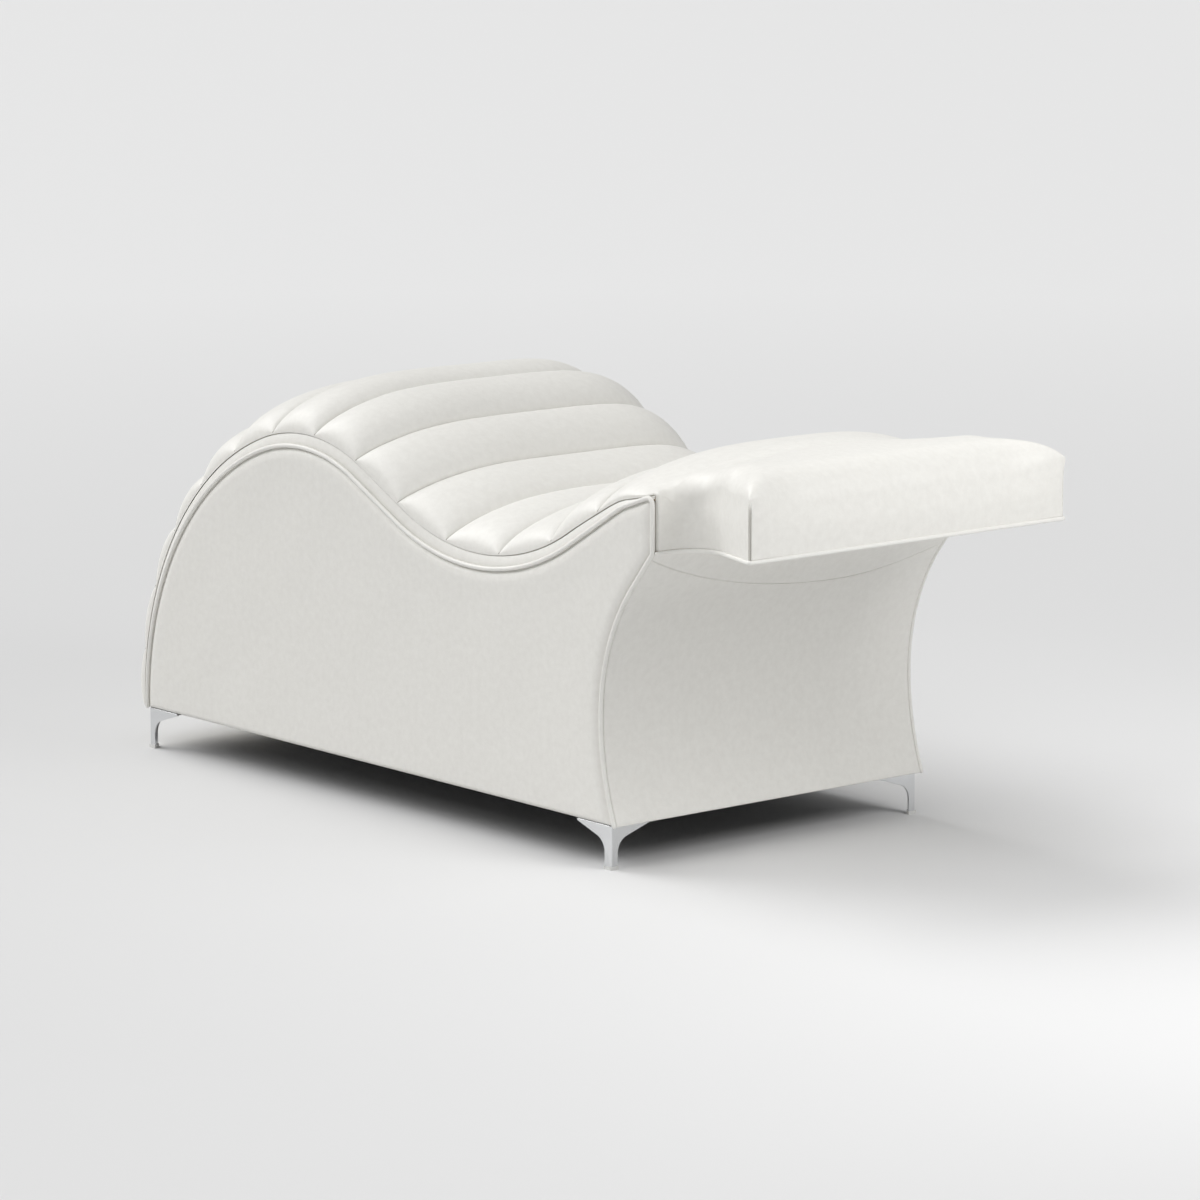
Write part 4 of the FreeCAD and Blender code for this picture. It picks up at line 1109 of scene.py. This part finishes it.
def front_panels():
    """The two panels of the front and their curved seam."""
    y = across_shares(FRONT_COLUMNS) * FRONT_HALF
    run = y - APRON_LOW_PLACE
    rise = np.where(run < 0, APRON_LEFT_RISE, APRON_RIGHT_RISE)
    reach = np.where(run < 0, HALF_WIDTH + APRON_LOW_PLACE, HALF_WIDTH - APRON_LOW_PLACE)
    arc = (reach ** 2 + rise ** 2) / (2 * rise)
    seam_z = EDGE_FOOT_Z - APRON_LOW_DROP + arc - np.sqrt(arc ** 2 - run ** 2)
    places = np.linspace(0.0, sum(span.length for span in FRONT), FRONT_SAMPLES)
    heights = along(FRONT, places, FRONT_FACE_LEVEL, 0.0)[:, 1]
    seam = np.interp(-seam_z, -heights, places)
    top = np.full(FRONT_COLUMNS, FRONT_TOP)
    bottom = np.full(FRONT_COLUMNS, np.interp(-BODY_BOTTOM - CLEARANCE, -heights, places))
    front_face("front_upper", "front_apron", top, seam - APRON_GAP)
    front_face("front_lower", "front_pad", seam + APRON_GAP, bottom)


# Underside

def dust_sheet():
    """The cloth stapled under the base, with a slight sag."""
    low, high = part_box("dust_cover")
    x = np.linspace(low.x, high.x, DUST_ROWS)[:, None]
    y = np.linspace(low.y, high.y, DUST_COLUMNS)[None, :]
    x, y = np.broadcast_arrays(x, y)
    sag = np.sin(math.pi * (x - low.x) / (high.x - low.x))
    sag = sag * np.sin(math.pi * (y - low.y) / (high.y - low.y))
    grid = np.stack([x, y, np.full(x.shape, high.z)], axis=-1)
    wave = DUST_WAVE_DEPTH * soft_noise(grid, DUST_WAVE, DUST_SEED)
    grid[..., 2] -= DUST_GAP + DUST_SAG * sag + wave * sag
    patches = Patchwork()
    patches.grid(grid)
    sheet = make_piece("dust_sheet", patches, DUST_CLOTH, ["dust_cover"])


# Finishes of the CAD nodes that stay

def finish_node(name, material):
    """Give a CAD node its material."""
    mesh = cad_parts[name].data
    mesh.materials.clear()
    mesh.materials.append(material)


def soften(name):
    """Small rounded edges on a hard node."""
    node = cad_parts[name]
    weld = node.modifiers.new("weld", "WELD")
    weld.merge_threshold = LEG_WELD
    bevel = node.modifiers.new("edge", "BEVEL")
    bevel.width = LEG_EDGE
    bevel.segments = LEG_EDGE_STEPS
    bevel.limit_method = "ANGLE"
    bevel.angle_limit = LEG_EDGE_ANGLE


def finish_nodes():
    """Materials of the hard nodes, and the legs' soft edges."""
    sides = ("left", "right")
    corners = [end + "_" + side for end in ("foot", "head") for side in sides]
    finishes = {
        PLYWOOD: ["side_frame_" + side for side in sides] + [
            "seat_deck", "base_board", "centre_rib", "front_board", "headrest_board",
        ],
        TIMBER: ["cross_rails", "corner_blocks", "headrest_rails"],
        BAR_STEEL: ["headrest_stiffeners"],
        CHROME: ["leg_" + corner for corner in corners],
        GLIDE_PLASTIC: ["glide_" + corner for corner in corners],
        SCREW_STEEL: ["leg_screws"],
    }
    for material, names in finishes.items():
        for name in names:
            finish_node(name, material)
    for corner in corners:
        soften("leg_" + corner)


# Floor, light and camera

def make_floor():
    """A plain pale floor, a little paler far off: its darker tone near the bed is painted shade that evens
    out the head light's pool on it.
    """
    mesh = bpy.data.meshes.new("floor")
    corners = [(-1, -1), (1, -1), (1, 1), (-1, 1)]
    mesh.from_pydata([(x * FLOOR_REACH, y * FLOOR_REACH, 0) for x, y in corners], [], [(0, 1, 2, 3)])
    floor = new_object("floor", mesh)
    recipe = new_material("floor")
    distance = recipe.add("VectorMath", "Value", {"Vector": recipe.place()}, operation="LENGTH")
    away = recipe.rescaled(distance, 0.0, 1.0, *FLOOR_FADE)
    mesh.materials.append(recipe.finish({
        "Base Color": recipe.ramp(away, (0.0, (FLOOR_NEAR_PAINTED_SHADE,) * 3), (1.0, (FLOOR_FAR,) * 3)),
        "Roughness": FLOOR_ROUGH,
        "Specular IOR Level": FLOOR_GLOSS,
    }))


def make_world():
    """A faint fill all round, and a brighter studio for what mirrors in the bed."""
    world = bpy.data.worlds.new("studio")
    bpy.context.scene.world = world
    recipe = Recipe(world, "Background")
    glossy = recipe.add("LightPath", "Is Glossy Ray", {})
    strength = recipe.rescaled(glossy, FILL_LIGHT, STUDIO_LIGHT)
    recipe.finish({"Color": (1.0, 1.0, 1.0, 1.0), "Strength": strength})


def make_sun(name, place, strength):
    """A wide soft lamp far off in one direction."""
    lamp = bpy.data.lights.new(name, "SUN")
    lamp.energy = strength
    lamp.angle = SUN_SPREAD
    light = new_object(name, lamp)
    light.rotation_euler = Vector(place).to_track_quat("Z", "Y").to_euler()


def make_head_light():
    """The soft box ahead of the headrest."""
    lamp = bpy.data.lights.new("head_light", "AREA")
    lamp.energy = HEAD_LIGHT
    lamp.size = HEAD_LIGHT_SIZE
    light = new_object("head_light", lamp)
    light.location = HEAD_LIGHT_PLACE
    back = Vector(HEAD_LIGHT_PLACE) - Vector(HEAD_LIGHT_AIM)
    light.rotation_euler = back.to_track_quat("Z", "Y").to_euler()


def make_camera():
    """The photograph's camera."""
    data = bpy.data.cameras.new("camera")
    data.lens = CAMERA_LENS
    data.sensor_width = SENSOR_WIDTH
    data.clip_end = CAMERA_CLIP
    camera = new_object("camera", data)
    camera.location = (HEAD_X + CAMERA_AHEAD, CAMERA_SIDE, CAMERA_HEIGHT)
    level = math.cos(CAMERA_ELEVATION)
    back = Vector((
        math.sin(CAMERA_AZIMUTH) * level, -math.cos(CAMERA_AZIMUTH) * level, math.sin(CAMERA_ELEVATION),
    ))
    camera.rotation_euler = (-back).to_track_quat("-Z", "Y").to_euler()
    bpy.context.scene.camera = camera


for side, side_name in ((-1, "left"), (1, "right")):
    side_panel(side, side_name)
    side_piping(side, side_name)
    boxing_band(side, side_name)
places = seams()
for index, (start, end) in enumerate(zip(places, places[1:]), 1):
    channel(index, start, end)
seam_threads_painted_shade()
foam_core()
headrest()
headrest_piping()
headrest_liner()
front_panels()
dust_sheet()
finish_nodes()
make_floor()
make_world()
for name, (place, strength) in SUNS.items():
    make_sun(name, place, strength)
make_head_light()
make_camera()
bpy.context.scene.view_settings.view_transform = "Standard"
